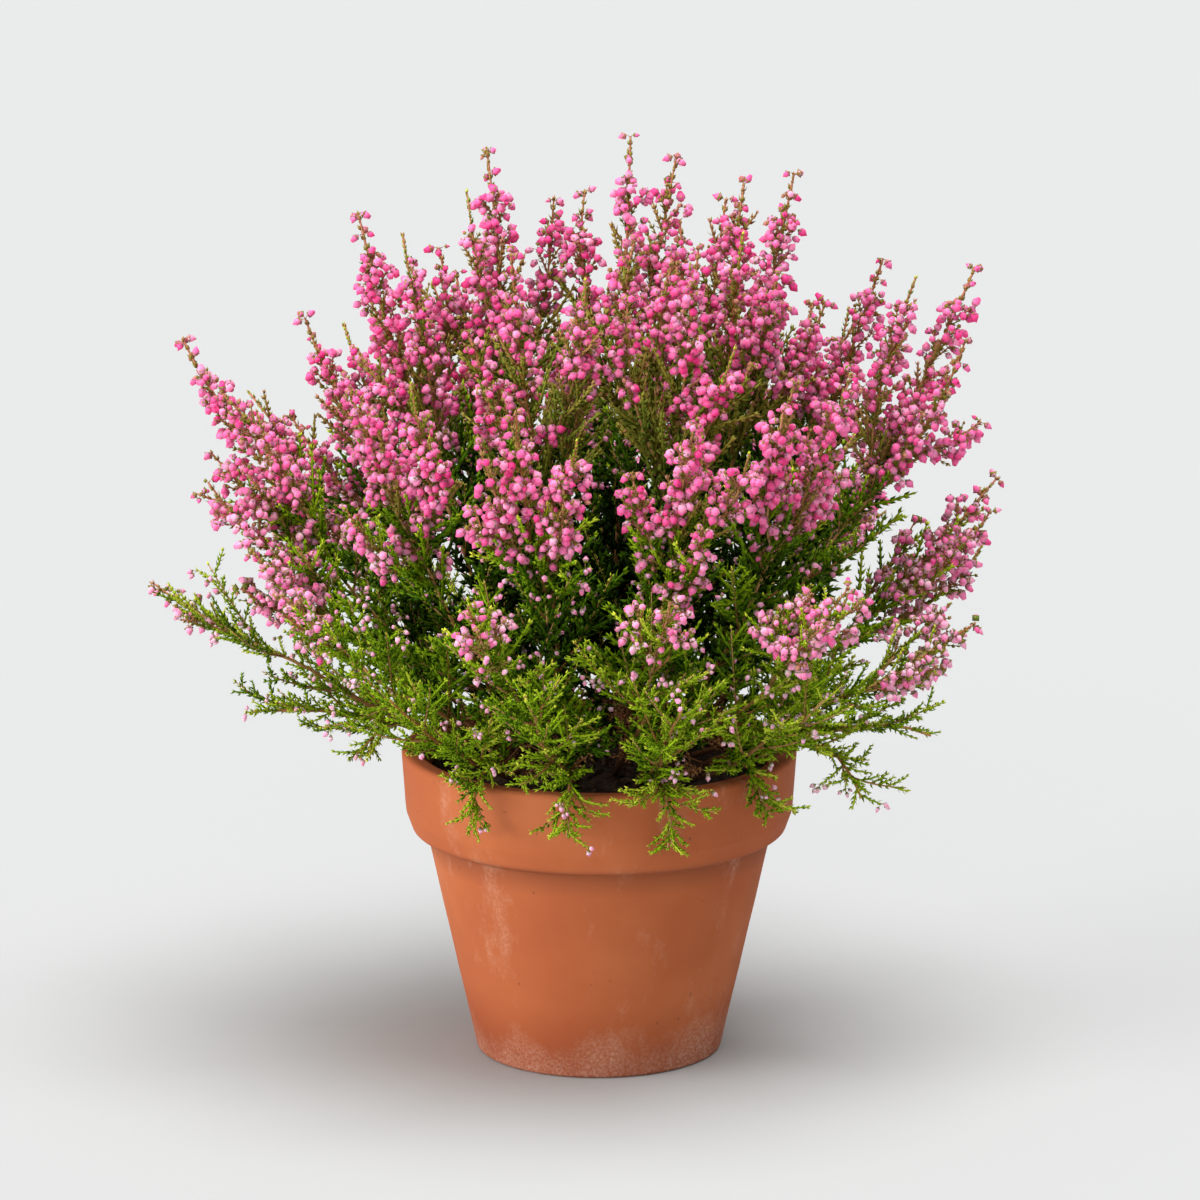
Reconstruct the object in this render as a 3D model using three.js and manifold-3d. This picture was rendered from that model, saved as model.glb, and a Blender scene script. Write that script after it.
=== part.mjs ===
// A potted cape heath: a fine-needled shrublet with pink urn-shaped flowers in a terracotta pot.
// Millimetres, +Z up. The origin is the centre of the pot's foot; -Y is the side that faces the viewer.
// Each branch stands in its own plain hole in the soil and forks into one or two leafy shoots.
// Each shoot ends in a flowering top of up to three spikes, and low leafy sprays lean out over the rim.
import * as THREE from "three";
import { mergeVertices } from "three/addons/utils/BufferGeometryUtils.js";
import Module from "manifold-3d";

const wasm = await Module();
wasm.setup();

// Pot
const RIM_RADIUS = 70;
const POT_HEIGHT = 110;
const FOOT_RADIUS = 43.4;
const CREASE_RADIUS = 60.8;
const CREASE_HEIGHT = 79;
const COLLAR_FOOT_RADIUS = 68.5;
const COLLAR_FOOT_HEIGHT = 88;
const MOUTH_RADIUS = 63.2;
const FLOOR_THICKNESS = 8;
const FLOOR_RADIUS = 38.5;
const LIP_ROUNDING = 1.5;
const FOOT_ROUNDING = 3;
// The collar's lower edge turns in by this much over this height before it meets the body.
const COLLAR_TURN_IN = 2.5;
const COLLAR_TURN_HEIGHT = 7;
const POT_SIDES = 28;
const DRAIN_RADIUS = 4;
const DRAIN_CIRCLE = 15;
const DRAIN_COUNT = 3;
const DRAIN_SIDES = 8;

// Soil
const SOIL_EDGE_HEIGHT = 100.5;
const SOIL_CROWN_HEIGHT = 103;
const SOIL_CROWN_RADIUS = 34;
// Room between two pieces that touch on the real plant
const GAP = 0.3;

// Branches and shoots
const ROOT_DEPTH = 14;
const STEM_RADIUS = 1.7;
const SHOOT_TOP_RADIUS = 1.1;
const BASE_SPREAD = 0.2;
const STEM_SIDES = 3;

// Side shoots and needles, the needles at their true size
const NEEDLE_REACH = 3.4;
const NEEDLE_LEAN = 3.6;
const SHORT_NEEDLE = 0.85;
const LONG_NEEDLE = 1.15;
const STEM_WHORL_PITCH = 9;
const TWIG_WHORL_PITCH = 8;
const TWIG_RADIUS = 1.0;
const TWIG_TIP_RADIUS = 0.6;
const TWIG_SIDES = 3;
const TWIG_LEAN = 0.95;
const TWIG_UPTURN = 0.12;
// The lowest side shoot of a stem is longer than the plan's length by this part, the highest shorter.
const TWIG_TAPER = 0.15;
// Each whorl is turned against the one below by this part of the angle between two leaves.
const WHORL_TURNS = 2.6;

// A flowering top: a main spike with smaller ones that fork from its stem and rise beside it.
// Each spike is a slim core covered by whorls of nodding bells, larger than life.
const MAIN_SPIKE = { sides: 4, footRadius: 4.8, tipRadius: 1.8, pitch: 9.6, reach: 5.8, bareBands: 0 };
const SIDE_SPIKE = { sides: 3, footRadius: 3.9, tipRadius: 1.5, pitch: 10.2, reach: 5.2, bareBands: 1 };
const SIDE_SPIKES = 2;
// The core swells from this share of its full radius, at this rate along the spike.
const CORE_START = 0.7;
const CORE_SWELL = 1.5;
const BELL_DROOP = 1.6;
const SHORT_BELL = 0.75;
const LONG_BELL = 1.2;
// One bell in a few stands far out, where the living plant has a cluster on a short side branchlet.
const CLUSTER_SHARE = 0.16;
const CLUSTER_REACH = 9;
// How far a side spike stands from the main one on a full-length top, and how much farther its tip
const SIDE_OFFSET = 19;
const SIDE_TIP_LEAN = 1.1;
const FULL_TOP = 110;
// Where a side spike leaves the top's stem and where it ends, as shares of the top's length
const FORK_FROM = 0.03;
const FORK_APART = 0.11;
const SIDE_TIP_FROM = 0.6;
const SIDE_TIP_STEP = 0.1;
const SIDE_TIP_KINDS = 4;
// Each top's side spikes face another way round the compass, by this many radians.
const COMPASS_STEP = 1.9;

// Shoot tips all round the plant: x, y and z of the tip and the length of its flowering top.
const SHOOTS = [
  [11, 0, 329, 112],
  [-39, 12, 321, 108],
  [68, 0, 316, 108],
  [-84, 0, 302, 108],
  [45, 45, 298, 100],
  [100, 20, 282, 104],
  [131, -8, 284, 104],
  [-104, 32, 258, 98],
  [-145, -8, 258, 102],
  [-136, -28, 212, 84],
  [140, 8, 205, 84],
  [-157, 4, 168, 40],
  [-30, -56, 298, 108],
  [34, -56, 300, 108],
  [-86, -78, 260, 98],
  [-28, -112, 254, 84],
  [32, -114, 252, 84],
  [86, -80, 262, 98],
  [-108, -88, 186, 46],
  [-44, -124, 190, 44],
  [24, -130, 194, 48],
  [84, -112, 194, 62],
  [130, -48, 166, 58],
  [-68, 78, 270, 100],
  [-4, 98, 268, 100],
  [62, 92, 264, 100],
  [-120, 78, 204, 80],
  [-50, 132, 202, 80],
  [30, 136, 200, 80],
  [104, 98, 204, 80],
];

// Which shoots fork from one branch base.
const BRANCHES = [
  [0], [1], [2], [3], [4], [5], [10], [11], [12], [13],
  [6, 22], [8, 9], [7, 26], [14, 18], [15, 19], [16, 20], [17, 21], [23, 27], [24, 28], [25, 29],
];

// Low leafy sprays, two to a root: heading in degrees, and reach and height of each tip.
// The first of a pair stands out, the second hangs over the rim.
const SPRAYS = [
  { out: [232, 116, 150], over: [236, 80, 99] },
  { out: [258, 120, 158], over: [262, 79, 98] },
  { out: [284, 118, 154], over: [288, 82, 95] },
  { out: [311, 118, 150], over: [317, 80, 99] },
  { out: [352, 118, 118], over: [340, 98, 100] },
  { out: [60, 118, 140], over: [48, 84, 100] },
  { out: [118, 118, 140], over: [104, 82, 98] },
  { out: [182, 122, 124], over: [160, 88, 100] },
];

const UP = new THREE.Vector3(0, 0, 1);
const TURN = Math.PI * 2;
const GOLDEN_ANGLE = 2.399963;

// A repeatable stream of numbers from 0 to 1, by the usual multiply-and-add rule on 32 bits.
const STREAM_FACTOR = 1664525;
const STREAM_STEP = 1013904223;
const STREAM_SPAN = 2 ** 32;

function drawFrom(seed) {
  let state = seed;
  return () => {
    state = (Math.imul(state, STREAM_FACTOR) + STREAM_STEP) >>> 0;
    return state / STREAM_SPAN;
  };
}

// Closed solids and their joins
function solidOf(geometry) {
  const bare = geometry.clone();
  bare.deleteAttribute("normal");
  bare.deleteAttribute("uv");
  const merged = mergeVertices(bare, 1e-4);
  return new wasm.Manifold(new wasm.Mesh({
    numProp: 3,
    vertProperties: new Float32Array(merged.attributes.position.array),
    triVerts: new Uint32Array(merged.index.array),
  }));
}

function geometryOf(solid) {
  const mesh = solid.getMesh();
  const geometry = new THREE.BufferGeometry();
  geometry.setAttribute("position", new THREE.BufferAttribute(mesh.vertProperties, 3));
  geometry.setIndex(new THREE.BufferAttribute(mesh.triVerts, 1));
  return geometry;
}

function joined(geometries) {
  let solid = solidOf(geometries[0]);
  for (const geometry of geometries.slice(1)) {
    solid = solid.add(solidOf(geometry));
  }
  return geometryOf(solid);
}

// Room kept between pieces: each piece registers the balls that it fills.
const CELL = 14;
const cells = new Map();

function cellKey(x, y, z) {
  return `${x},${y},${z}`;
}

function fill(owner, centre, radius) {
  const key = cellKey(...centre.toArray().map((value) => Math.floor(value / CELL)));
  if (!cells.has(key)) cells.set(key, []);
  cells.get(key).push({ owner, centre: centre.clone(), radius });
}

function soilTop(radius) {
  const slope = (SOIL_CROWN_HEIGHT - SOIL_EDGE_HEIGHT) / (MOUTH_RADIUS - SOIL_CROWN_RADIUS);
  return SOIL_CROWN_HEIGHT - slope * Math.max(0, radius - SOIL_CROWN_RADIUS);
}

function clearOfPot(centre, radius) {
  const reach = Math.hypot(centre.x, centre.y);
  const aside = Math.max(MOUTH_RADIUS - reach, reach - RIM_RADIUS, 0);
  const above = Math.max(centre.z - POT_HEIGHT, 0);
  if (Math.hypot(aside, above) < radius + GAP) return false;
  return reach > RIM_RADIUS || centre.z - soilTop(reach) > radius + GAP;
}

function clearOfOthers(owner, centre, radius) {
  const [cx, cy, cz] = centre.toArray().map((value) => Math.floor(value / CELL));
  for (let x = cx - 1; x <= cx + 1; x++) {
    for (let y = cy - 1; y <= cy + 1; y++) {
      for (let z = cz - 1; z <= cz + 1; z++) {
        for (const ball of cells.get(cellKey(x, y, z)) ?? []) {
          const apart = ball.centre.distanceTo(centre);
          if (ball.owner !== owner && apart < ball.radius + radius + GAP) return false;
        }
      }
    }
  }
  return true;
}

function isClear(owner, centre, radius) {
  return clearOfPot(centre, radius) && clearOfOthers(owner, centre, radius);
}

const NEARLY_PARALLEL = 0.98;

// Stations along a line: where it is, which way it runs, two directions across it, and its turn.
function stationsAlong(points, radiusAt, twist = 0, straightRows = 0) {
  let side = new THREE.Vector3(1, 0, 0);
  return points.map((centre, index) => {
    const before = points[Math.max(index - 1, 0)];
    const after = points[Math.min(index + 1, points.length - 1)];
    const along = after.clone().sub(before).normalize();
    if (Math.abs(along.dot(side)) > NEARLY_PARALLEL) side = new THREE.Vector3(0, 1, 0);
    side = side.clone().addScaledVector(along, -side.dot(along)).normalize();
    const across = along.clone().cross(side);
    const turn = Math.max(0, index - straightRows) * twist;
    return { centre, along, side, across, turn, radius: radiusAt(index / (points.length - 1)) };
  });
}

function around(station, angle, radius) {
  return station.centre.clone()
    .addScaledVector(station.side, Math.cos(angle + station.turn) * radius)
    .addScaledVector(station.across, Math.sin(angle + station.turn) * radius);
}

// A closed tube through the stations. raise(band, side) may give a tip, and that face then grows
// into a needle or a bell.
function tube(stations, sides, raise) {
  const points = [];
  const faces = [];
  const add = (point) => points.push(point) - 1;
  const rings = stations.map((station) => {
    const ring = [];
    for (let k = 0; k < sides; k++) ring.push(add(around(station, (k / sides) * TURN, station.radius)));
    return ring;
  });
  for (let row = 0; row + 1 < stations.length; row++) {
    for (let k = 0; k < sides; k++) {
      const next = (k + 1) % sides;
      const base = [rings[row][k], rings[row][next], rings[row + 1][next], rings[row + 1][k]];
      const form = raise(row, k);
      if (!form) {
        faces.push([base[0], base[1], base[2]], [base[0], base[2], base[3]]);
        continue;
      }
      const tip = add(form);
      for (let i = 0; i < 4; i++) faces.push([base[i], base[(i + 1) % 4], tip]);
    }
  }
  const last = rings.length - 1;
  const end = stations[last];
  const point = add(end.centre.clone().addScaledVector(end.along, end.radius));
  for (let k = 0; k < sides; k++) faces.push([rings[last][k], rings[last][(k + 1) % sides], point]);
  for (let k = 1; k + 1 < sides; k++) faces.push([rings[0][0], rings[0][k + 1], rings[0][k]]);
  const geometry = new THREE.BufferGeometry();
  geometry.setAttribute("position", new THREE.Float32BufferAttribute(points.flatMap((p) => p.toArray()), 3));
  geometry.setIndex(faces.flat());
  return geometry;
}

// The middle of one face of a tube and the direction that it faces.
function faceMiddle(stations, row, k, sides) {
  const [low, high] = [stations[row], stations[row + 1]];
  const angle = ((k + 0.5) / sides) * TURN + (high.turn - low.turn) / 2;
  const outward = around(low, angle, 1).sub(low.centre);
  const apothem = ((low.radius + high.radius) / 2) * Math.cos(Math.PI / sides);
  const centre = low.centre.clone().lerp(high.centre, 0.5).addScaledVector(outward, apothem);
  return { centre, outward, along: low.along };
}

// The tip of what grows from a face: so far out from the stem and so far up along it.
function grownTip(face, out, up) {
  return face.centre.clone().addScaledVector(face.outward, out).addScaledVector(face.along, up);
}

// Routes of the stems: an upright root in the soil, then one easy curve to the tip.
// A curve's two inner points are given as shares of the way out, and of the way up
// for a shoot, or as a rise in millimetres for a spray that arches over the rim.
const ROOT_LIFT = 3;
const SHOOT_RISE = [0.36, 0.26, 0.74, 0.62];
const OVER_RISE = [0.34, 18, 0.84, 19];
// The same for a side spike, with shares of its length along the stem and of its offset outward.
const SIDE_RISE = [0.28, 0.75, 0.68, 1];
const LOW_SPRAY = 145;
const SPRAY_ROOT_RADIUS = 44;

function shootRoute(start, end) {
  const [firstOut, firstUp, secondOut, secondUp] = SHOOT_RISE;
  const step = end.clone().sub(start);
  const control = (out, up) => new THREE.Vector3(
    start.x + step.x * out, start.y + step.y * out, start.z + step.z * up);
  return new THREE.CubicBezierCurve3(start, control(firstOut, firstUp), control(secondOut, secondUp), end);
}

function overRimRoute(start, end) {
  const [firstOut, firstUp, secondOut, secondUp] = OVER_RISE;
  const step = end.clone().sub(start);
  const control = (out, up) => new THREE.Vector3(
    start.x + step.x * out, start.y + step.y * out, start.z + up);
  return new THREE.CubicBezierCurve3(start, control(firstOut, firstUp), control(secondOut, secondUp), end);
}

function crownPoint(x, y) {
  return new THREE.Vector3(x, y, soilTop(Math.hypot(x, y)) + ROOT_LIFT);
}

function polar(heading, radius, height) {
  const angle = THREE.MathUtils.degToRad(heading);
  return new THREE.Vector3(Math.cos(angle) * radius, Math.sin(angle) * radius, height);
}

// Points at equal steps along part of a route.
function pointsAlong(curve, from, to, count) {
  const points = [];
  for (let i = 0; i <= count; i++) points.push(curve.getPointAt(from + ((to - from) * i) / count));
  return points;
}

// Everything that grows: its route, where its leaves and flowers start, and its node.
const BALL_STEP = 3;

function fillAlong(owner, points, radius) {
  for (let i = 0; i + 1 < points.length; i++) {
    const span = points[i].distanceTo(points[i + 1]);
    const steps = Math.max(1, Math.round(span / BALL_STEP));
    for (let j = 0; j <= steps; j++) {
      fill(owner, points[i].clone().lerp(points[i + 1], j / steps), radius);
    }
  }
}

const stemParts = BRANCHES.map((members, index) => {
  const owner = `branch_${String(index + 1).padStart(2, "0")}`;
  const mean = [0, 1].map((axis) => members.reduce((sum, m) => sum + SHOOTS[m][axis], 0) / members.length);
  const crown = crownPoint(mean[0] * BASE_SPREAD, mean[1] * BASE_SPREAD);
  const shoots = members.map((member) => {
    const [x, y, z, topLength] = SHOOTS[member];
    const curve = shootRoute(crown, new THREE.Vector3(x, y, z));
    const split = 1 - topLength / curve.getLength();
    return { member, curve, split, length: curve.getLength() };
  });
  return { owner, crown, shoots };
});

const sprayParts = SPRAYS.map((spray, index) => {
  const heading = (spray.out[0] + spray.over[0]) / 2;
  const foot = polar(heading, SPRAY_ROOT_RADIUS, 0);
  const crown = crownPoint(foot.x, foot.y);
  const outRoute = spray.out[2] < LOW_SPRAY ? overRimRoute : shootRoute;
  const routes = [outRoute(crown, polar(...spray.out)), overRimRoute(crown, polar(...spray.over))];
  return { owner: `spray_${index + 1}`, crown, shoots: routes.map((curve) => ({
    curve, split: 1, length: curve.getLength(),
  })) };
});

// The room that each piece is taken to fill
const BALLS_ON_STEM = 12;
const WOOD_BALL = 2;
const SPIKE_BALL = 6.5;
const BELL_BALL = 2.6;
const NEEDLE_BALL = 3.6;
const TWIG_ROOM = 4.2;
// A bell's or whorl's ball sits this far from its root towards its tip or the next whorl.
const BALL_PLACE = 0.6;
// A crowded side spike is set closer to the main one, and a crowded side shoot is turned or shortened.
const SPIKE_TRIES = [1, 0.75, 0.5];
const TWIG_TURNS = 7;
const TWIG_LENGTHS = [1, 0.7];

for (const { owner, crown, shoots } of [...stemParts, ...sprayParts]) {
  fill(owner, crown, WOOD_BALL);
  for (const { curve, split } of shoots) {
    fillAlong(owner, pointsAlong(curve, 0, split, BALLS_ON_STEM), WOOD_BALL);
  }
}

// Flowering tops
const BLOOM_SEED_STEP = 977;
const FEWEST_BANDS = 3;

function outwardFrom(along, angle) {
  const compass = new THREE.Vector3(Math.cos(angle), Math.sin(angle), 0);
  return compass.addScaledVector(along, -compass.dot(along)).normalize();
}

// The line of a side spike, which leaves the top's stem and rises beside it.
function sideRoute({ member, curve, split, length }, order, closeness) {
  const share = 1 - split;
  const footAt = split + share * (FORK_FROM + FORK_APART * order);
  const tipAt = split + share * (SIDE_TIP_FROM + SIDE_TIP_STEP * ((order * 2 + member) % SIDE_TIP_KINDS));
  const ahead = curve.getTangentAt(footAt);
  const outward = outwardFrom(ahead, member * COMPASS_STEP + order * GOLDEN_ANGLE);
  const foot = curve.getPointAt(footAt);
  const tip = curve.getPointAt(tipAt);
  const offset = (SIDE_OFFSET * closeness * length * share) / FULL_TOP;
  const span = tip.distanceTo(foot);
  const control = (up, out) => foot.clone()
    .addScaledVector(ahead, span * up).addScaledVector(outward, offset * out);
  tip.addScaledVector(outward, offset * SIDE_TIP_LEAN);
  const [firstUp, firstOut, secondUp, secondOut] = SIDE_RISE;
  return new THREE.CubicBezierCurve3(foot, control(firstUp, firstOut), control(secondUp, secondOut), tip);
}

function spikeOf(curve, from, form) {
  const length = curve.getLength();
  const bands = Math.max(FEWEST_BANDS, Math.round((length * (1 - from)) / form.pitch));
  const points = pointsAlong(curve, from, 1 - form.tipRadius / length, bands);
  return { form, points };
}

// Every main spike takes its room first, and the side spikes then fit between them.
const tops = stemParts.flatMap(({ shoots }) => shoots).map((shoot) => {
  const owner = `bloom_${String(shoot.member + 1).padStart(2, "0")}`;
  const main = spikeOf(shoot.curve, shoot.split + GAP / shoot.length, MAIN_SPIKE);
  fillAlong(owner, main.points, SPIKE_BALL);
  return { owner, shoot, spikes: [main] };
});

for (const { owner, shoot, spikes } of tops) {
  for (let order = 0; order < SIDE_SPIKES; order++) {
    for (const closeness of SPIKE_TRIES) {
      const spike = spikeOf(sideRoute(shoot, order, closeness), 0, SIDE_SPIKE);
      if (spike.points.every((point) => isClear(owner, point, SPIKE_BALL))) {
        fillAlong(owner, spike.points, SPIKE_BALL);
        spikes.push(spike);
        break;
      }
    }
  }
}

function spikeGeometry(owner, { form, points }, draw) {
  const radiusAt = (t) => {
    if (t === 0) return TWIG_RADIUS;
    const swell = Math.min(1, CORE_START + t * CORE_SWELL);
    return swell * (form.footRadius + (form.tipRadius - form.footRadius) * t);
  };
  const stations = stationsAlong(points, radiusAt, TURN / (form.sides * WHORL_TURNS));
  return tube(stations, form.sides, (row, k) => {
    const face = faceMiddle(stations, row, k, form.sides);
    const isCluster = draw() < CLUSTER_SHARE && row > 0;
    const bellReach = form.reach * (SHORT_BELL + (LONG_BELL - SHORT_BELL) * draw());
    const tip = grownTip(face, isCluster ? CLUSTER_REACH : bellReach, -BELL_DROOP);
    if (row < form.bareBands || !isClear(owner, tip, GAP)) return null;
    fill(owner, face.centre.clone().lerp(tip, BALL_PLACE), BELL_BALL);
    return tip;
  });
}

function bloomOf({ owner, shoot, spikes }) {
  const draw = drawFrom(shoot.member * BLOOM_SEED_STEP);
  return { name: owner, geometry: joined(spikes.map((spike) => spikeGeometry(owner, spike, draw))) };
}

// Leafy stems
const BARE_BANDS = 3;
// A second stem from the same base is this much thinner, so that it roots inside the first.
const FORK_STEP = 0.1;
const PART_SEED_STEP = 101;
const STEM_SEED_STEP = 17;

function leafyTube(owner, points, sides, radiusAt, leafyFrom, seed) {
  const stations = stationsAlong(points, radiusAt, TURN / (sides * WHORL_TURNS), 1);
  const draw = drawFrom(seed);
  const leafy = stations.map(({ centre, along }, row) => {
    if (row < leafyFrom || row + 1 >= stations.length) return false;
    const middle = centre.clone().lerp(stations[row + 1].centre, BALL_PLACE);
    return isClear(owner, middle.addScaledVector(along, NEEDLE_LEAN / 2), NEEDLE_BALL);
  });
  const grow = (row, k) => {
    if (!leafy[row]) return null;
    const size = SHORT_NEEDLE + (LONG_NEEDLE - SHORT_NEEDLE) * draw();
    return grownTip(faceMiddle(stations, row, k, sides), NEEDLE_REACH * size, NEEDLE_LEAN * size);
  };
  stations.forEach(({ centre }, row) => leafy[row] && fill(owner, centre, NEEDLE_BALL));
  return tube(stations, sides, grow);
}

// A side shoot from a place on a stem, at the first turn round it that has room.
function twigOf(owner, base, along, turn, length, seed) {
  const [station] = stationsAlong([base, base.clone().add(along)], () => 1);
  for (const share of TWIG_LENGTHS) {
    for (let attempt = 0; attempt < TWIG_TURNS; attempt++) {
      const away = around(station, turn + attempt * GOLDEN_ANGLE, 1).sub(base);
      const heading = along.clone().addScaledVector(away, TWIG_LEAN).normalize();
      const points = [];
      const bands = Math.max(2, Math.round((length * share) / TWIG_WHORL_PITCH));
      for (let i = 0; i <= bands; i++) {
        const t = i / bands;
        points.push(base.clone().addScaledVector(heading, length * share * t)
          .addScaledVector(UP, length * TWIG_UPTURN * t * t));
      }
      if (points.slice(1).every((point) => isClear(owner, point, TWIG_ROOM))) {
        fillAlong(owner, points, NEEDLE_BALL);
        const radiusAt = (t) => TWIG_RADIUS + (TWIG_TIP_RADIUS - TWIG_RADIUS) * t;
        return leafyTube(owner, points, TWIG_SIDES, radiusAt, 1, seed);
      }
    }
  }
  return null;
}

// The stem of one shoot: bare at first, then with needles from bareTo on.
function stemPoints(curve, length, bareTo, end) {
  const points = pointsAlong(curve, 0, bareTo, BARE_BANDS);
  if (bareTo < end) {
    const bands = Math.round((length * (end - bareTo)) / STEM_WHORL_PITCH);
    points.push(...pointsAlong(curve, bareTo, end, bands).slice(1));
  }
  return points;
}

function leafyPart({ owner, crown, shoots }, partIndex, plan) {
  const pieces = [];
  shoots.forEach(({ curve, split, length }, index) => {
    const end = split - SHOOT_TOP_RADIUS / length;
    const points = stemPoints(curve, length, plan.bareTo * end, end);
    let leafyFrom = BARE_BANDS;
    if (index === 0) {
      points.unshift(crown.clone().addScaledVector(UP, -ROOT_LIFT - ROOT_DEPTH));
      leafyFrom += 1;
    }
    const radiusAt = (t) => STEM_RADIUS + (SHOOT_TOP_RADIUS - STEM_RADIUS) * t - index * FORK_STEP;
    const seed = partIndex * PART_SEED_STEP + index * STEM_SEED_STEP;
    pieces.push(leafyTube(owner, points, STEM_SIDES, radiusAt, leafyFrom, seed));
    for (let i = 0; i < plan.twigs; i++) {
      const share = i / (plan.twigs - 1);
      const place = (plan.twigsFrom + (plan.twigsTo - plan.twigsFrom) * share) * end;
      const twigLength = plan.twigLength * (1 + TWIG_TAPER * (1 - 2 * share));
      const twig = twigOf(owner, curve.getPointAt(place), curve.getTangentAt(place),
        i * GOLDEN_ANGLE + partIndex, twigLength, seed + i);
      if (twig) pieces.push(twig);
    }
  });
  return { name: owner, geometry: joined(pieces) };
}

// How a stem is dressed: where its needles start, and how many side shoots it bears between where.
const BRANCH_PLAN = { bareTo: 1, twigs: 2, twigLength: 32, twigsFrom: 0.4, twigsTo: 0.8 };
const SPRAY_PLAN = { bareTo: 0.5, twigs: 2, twigLength: 22, twigsFrom: 0.47, twigsTo: 0.75 };

// Pot and soil
// The soil keeps this much off the pot's wall, which the facets of both bring nearer.
const WALL_GAP = GAP * 1.5;

function lathe(profile, sides) {
  const outline = profile.map(([radius, height]) => new THREE.Vector2(radius, height));
  const geometry = new THREE.LatheGeometry(outline, sides);
  geometry.rotateX(Math.PI / 2);
  return geometry;
}

function post(x, y, bottom, top, radius, sides, turn = 0) {
  const geometry = new THREE.CylinderGeometry(radius, radius, top - bottom, sides, 1);
  geometry.rotateX(Math.PI / 2);
  geometry.rotateZ(turn);
  geometry.translate(x, y, (bottom + top) / 2);
  return geometry;
}

function potGeometry() {
  const profile = [
    [0, 0], [FOOT_RADIUS, 0], [FOOT_RADIUS + FOOT_ROUNDING / 2, FOOT_ROUNDING],
    [CREASE_RADIUS, CREASE_HEIGHT],
    [COLLAR_FOOT_RADIUS - COLLAR_TURN_IN, COLLAR_FOOT_HEIGHT - COLLAR_TURN_HEIGHT],
    [COLLAR_FOOT_RADIUS, COLLAR_FOOT_HEIGHT],
    [RIM_RADIUS, POT_HEIGHT - LIP_ROUNDING], [RIM_RADIUS - LIP_ROUNDING, POT_HEIGHT],
    [MOUTH_RADIUS + LIP_ROUNDING, POT_HEIGHT], [MOUTH_RADIUS, POT_HEIGHT - LIP_ROUNDING],
    [FLOOR_RADIUS, FLOOR_THICKNESS], [0, FLOOR_THICKNESS],
  ];
  let solid = solidOf(lathe(profile, POT_SIDES));
  for (let i = 0; i < DRAIN_COUNT; i++) {
    const place = polar((i * 360) / DRAIN_COUNT, DRAIN_CIRCLE, 0);
    const drain = post(place.x, place.y, -1, FLOOR_THICKNESS + 1, DRAIN_RADIUS, DRAIN_SIDES);
    solid = solid.subtract(solidOf(drain));
  }
  return geometryOf(solid);
}

// The pot's inner radius at a height.
function innerRadius(height) {
  const rise = (height - FLOOR_THICKNESS) / (POT_HEIGHT - LIP_ROUNDING - FLOOR_THICKNESS);
  return FLOOR_RADIUS + (MOUTH_RADIUS - FLOOR_RADIUS) * rise;
}

function soilGeometry() {
  const bottom = FLOOR_THICKNESS + GAP;
  const profile = [
    [0, bottom], [innerRadius(bottom) - WALL_GAP, bottom],
    [innerRadius(SOIL_EDGE_HEIGHT) - WALL_GAP, SOIL_EDGE_HEIGHT],
    [SOIL_CROWN_RADIUS, SOIL_CROWN_HEIGHT], [0, SOIL_CROWN_HEIGHT],
  ];
  let solid = solidOf(lathe(profile, POT_SIDES));
  const holeRadius = STEM_RADIUS + GAP / Math.cos(Math.PI / STEM_SIDES);
  for (const { crown } of [...stemParts, ...sprayParts]) {
    const bottomOfHole = crown.z - ROOT_LIFT - ROOT_DEPTH - GAP;
    const hole = post(crown.x, crown.y, bottomOfHole, crown.z, holeRadius, STEM_SIDES, TURN / 4);
    solid = solid.subtract(solidOf(hole));
  }
  return geometryOf(solid);
}

// Finishes
const TERRACOTTA = new THREE.MeshStandardMaterial({ color: "#c2703f", roughness: 0.85, metalness: 0 });
const POTTING_SOIL = new THREE.MeshStandardMaterial({ color: "#3a2a1e", roughness: 1, metalness: 0 });
const LEAF_GREEN = new THREE.MeshStandardMaterial({ color: "#5f9132", roughness: 0.7, metalness: 0 });
const FLOWER_PINK = new THREE.MeshStandardMaterial({ color: "#dd5c96", roughness: 0.6, metalness: 0 });

const heath = new THREE.Group();

function place(name, geometry, material) {
  const mesh = new THREE.Mesh(geometry, material);
  mesh.name = name;
  heath.add(mesh);
}

place("pot", potGeometry(), TERRACOTTA);
place("soil", soilGeometry(), POTTING_SOIL);
for (const top of tops) {
  const { name, geometry } = bloomOf(top);
  place(name, geometry, FLOWER_PINK);
}
sprayParts.forEach((part, index) => {
  const { name, geometry } = leafyPart(part, index + stemParts.length, SPRAY_PLAN);
  place(name, geometry, LEAF_GREEN);
});
stemParts.forEach((part, index) => {
  const { name, geometry } = leafyPart(part, index, BRANCH_PLAN);
  place(name, geometry, LEAF_GREEN);
});

export default heath;
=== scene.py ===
import math
from collections import namedtuple

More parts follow.
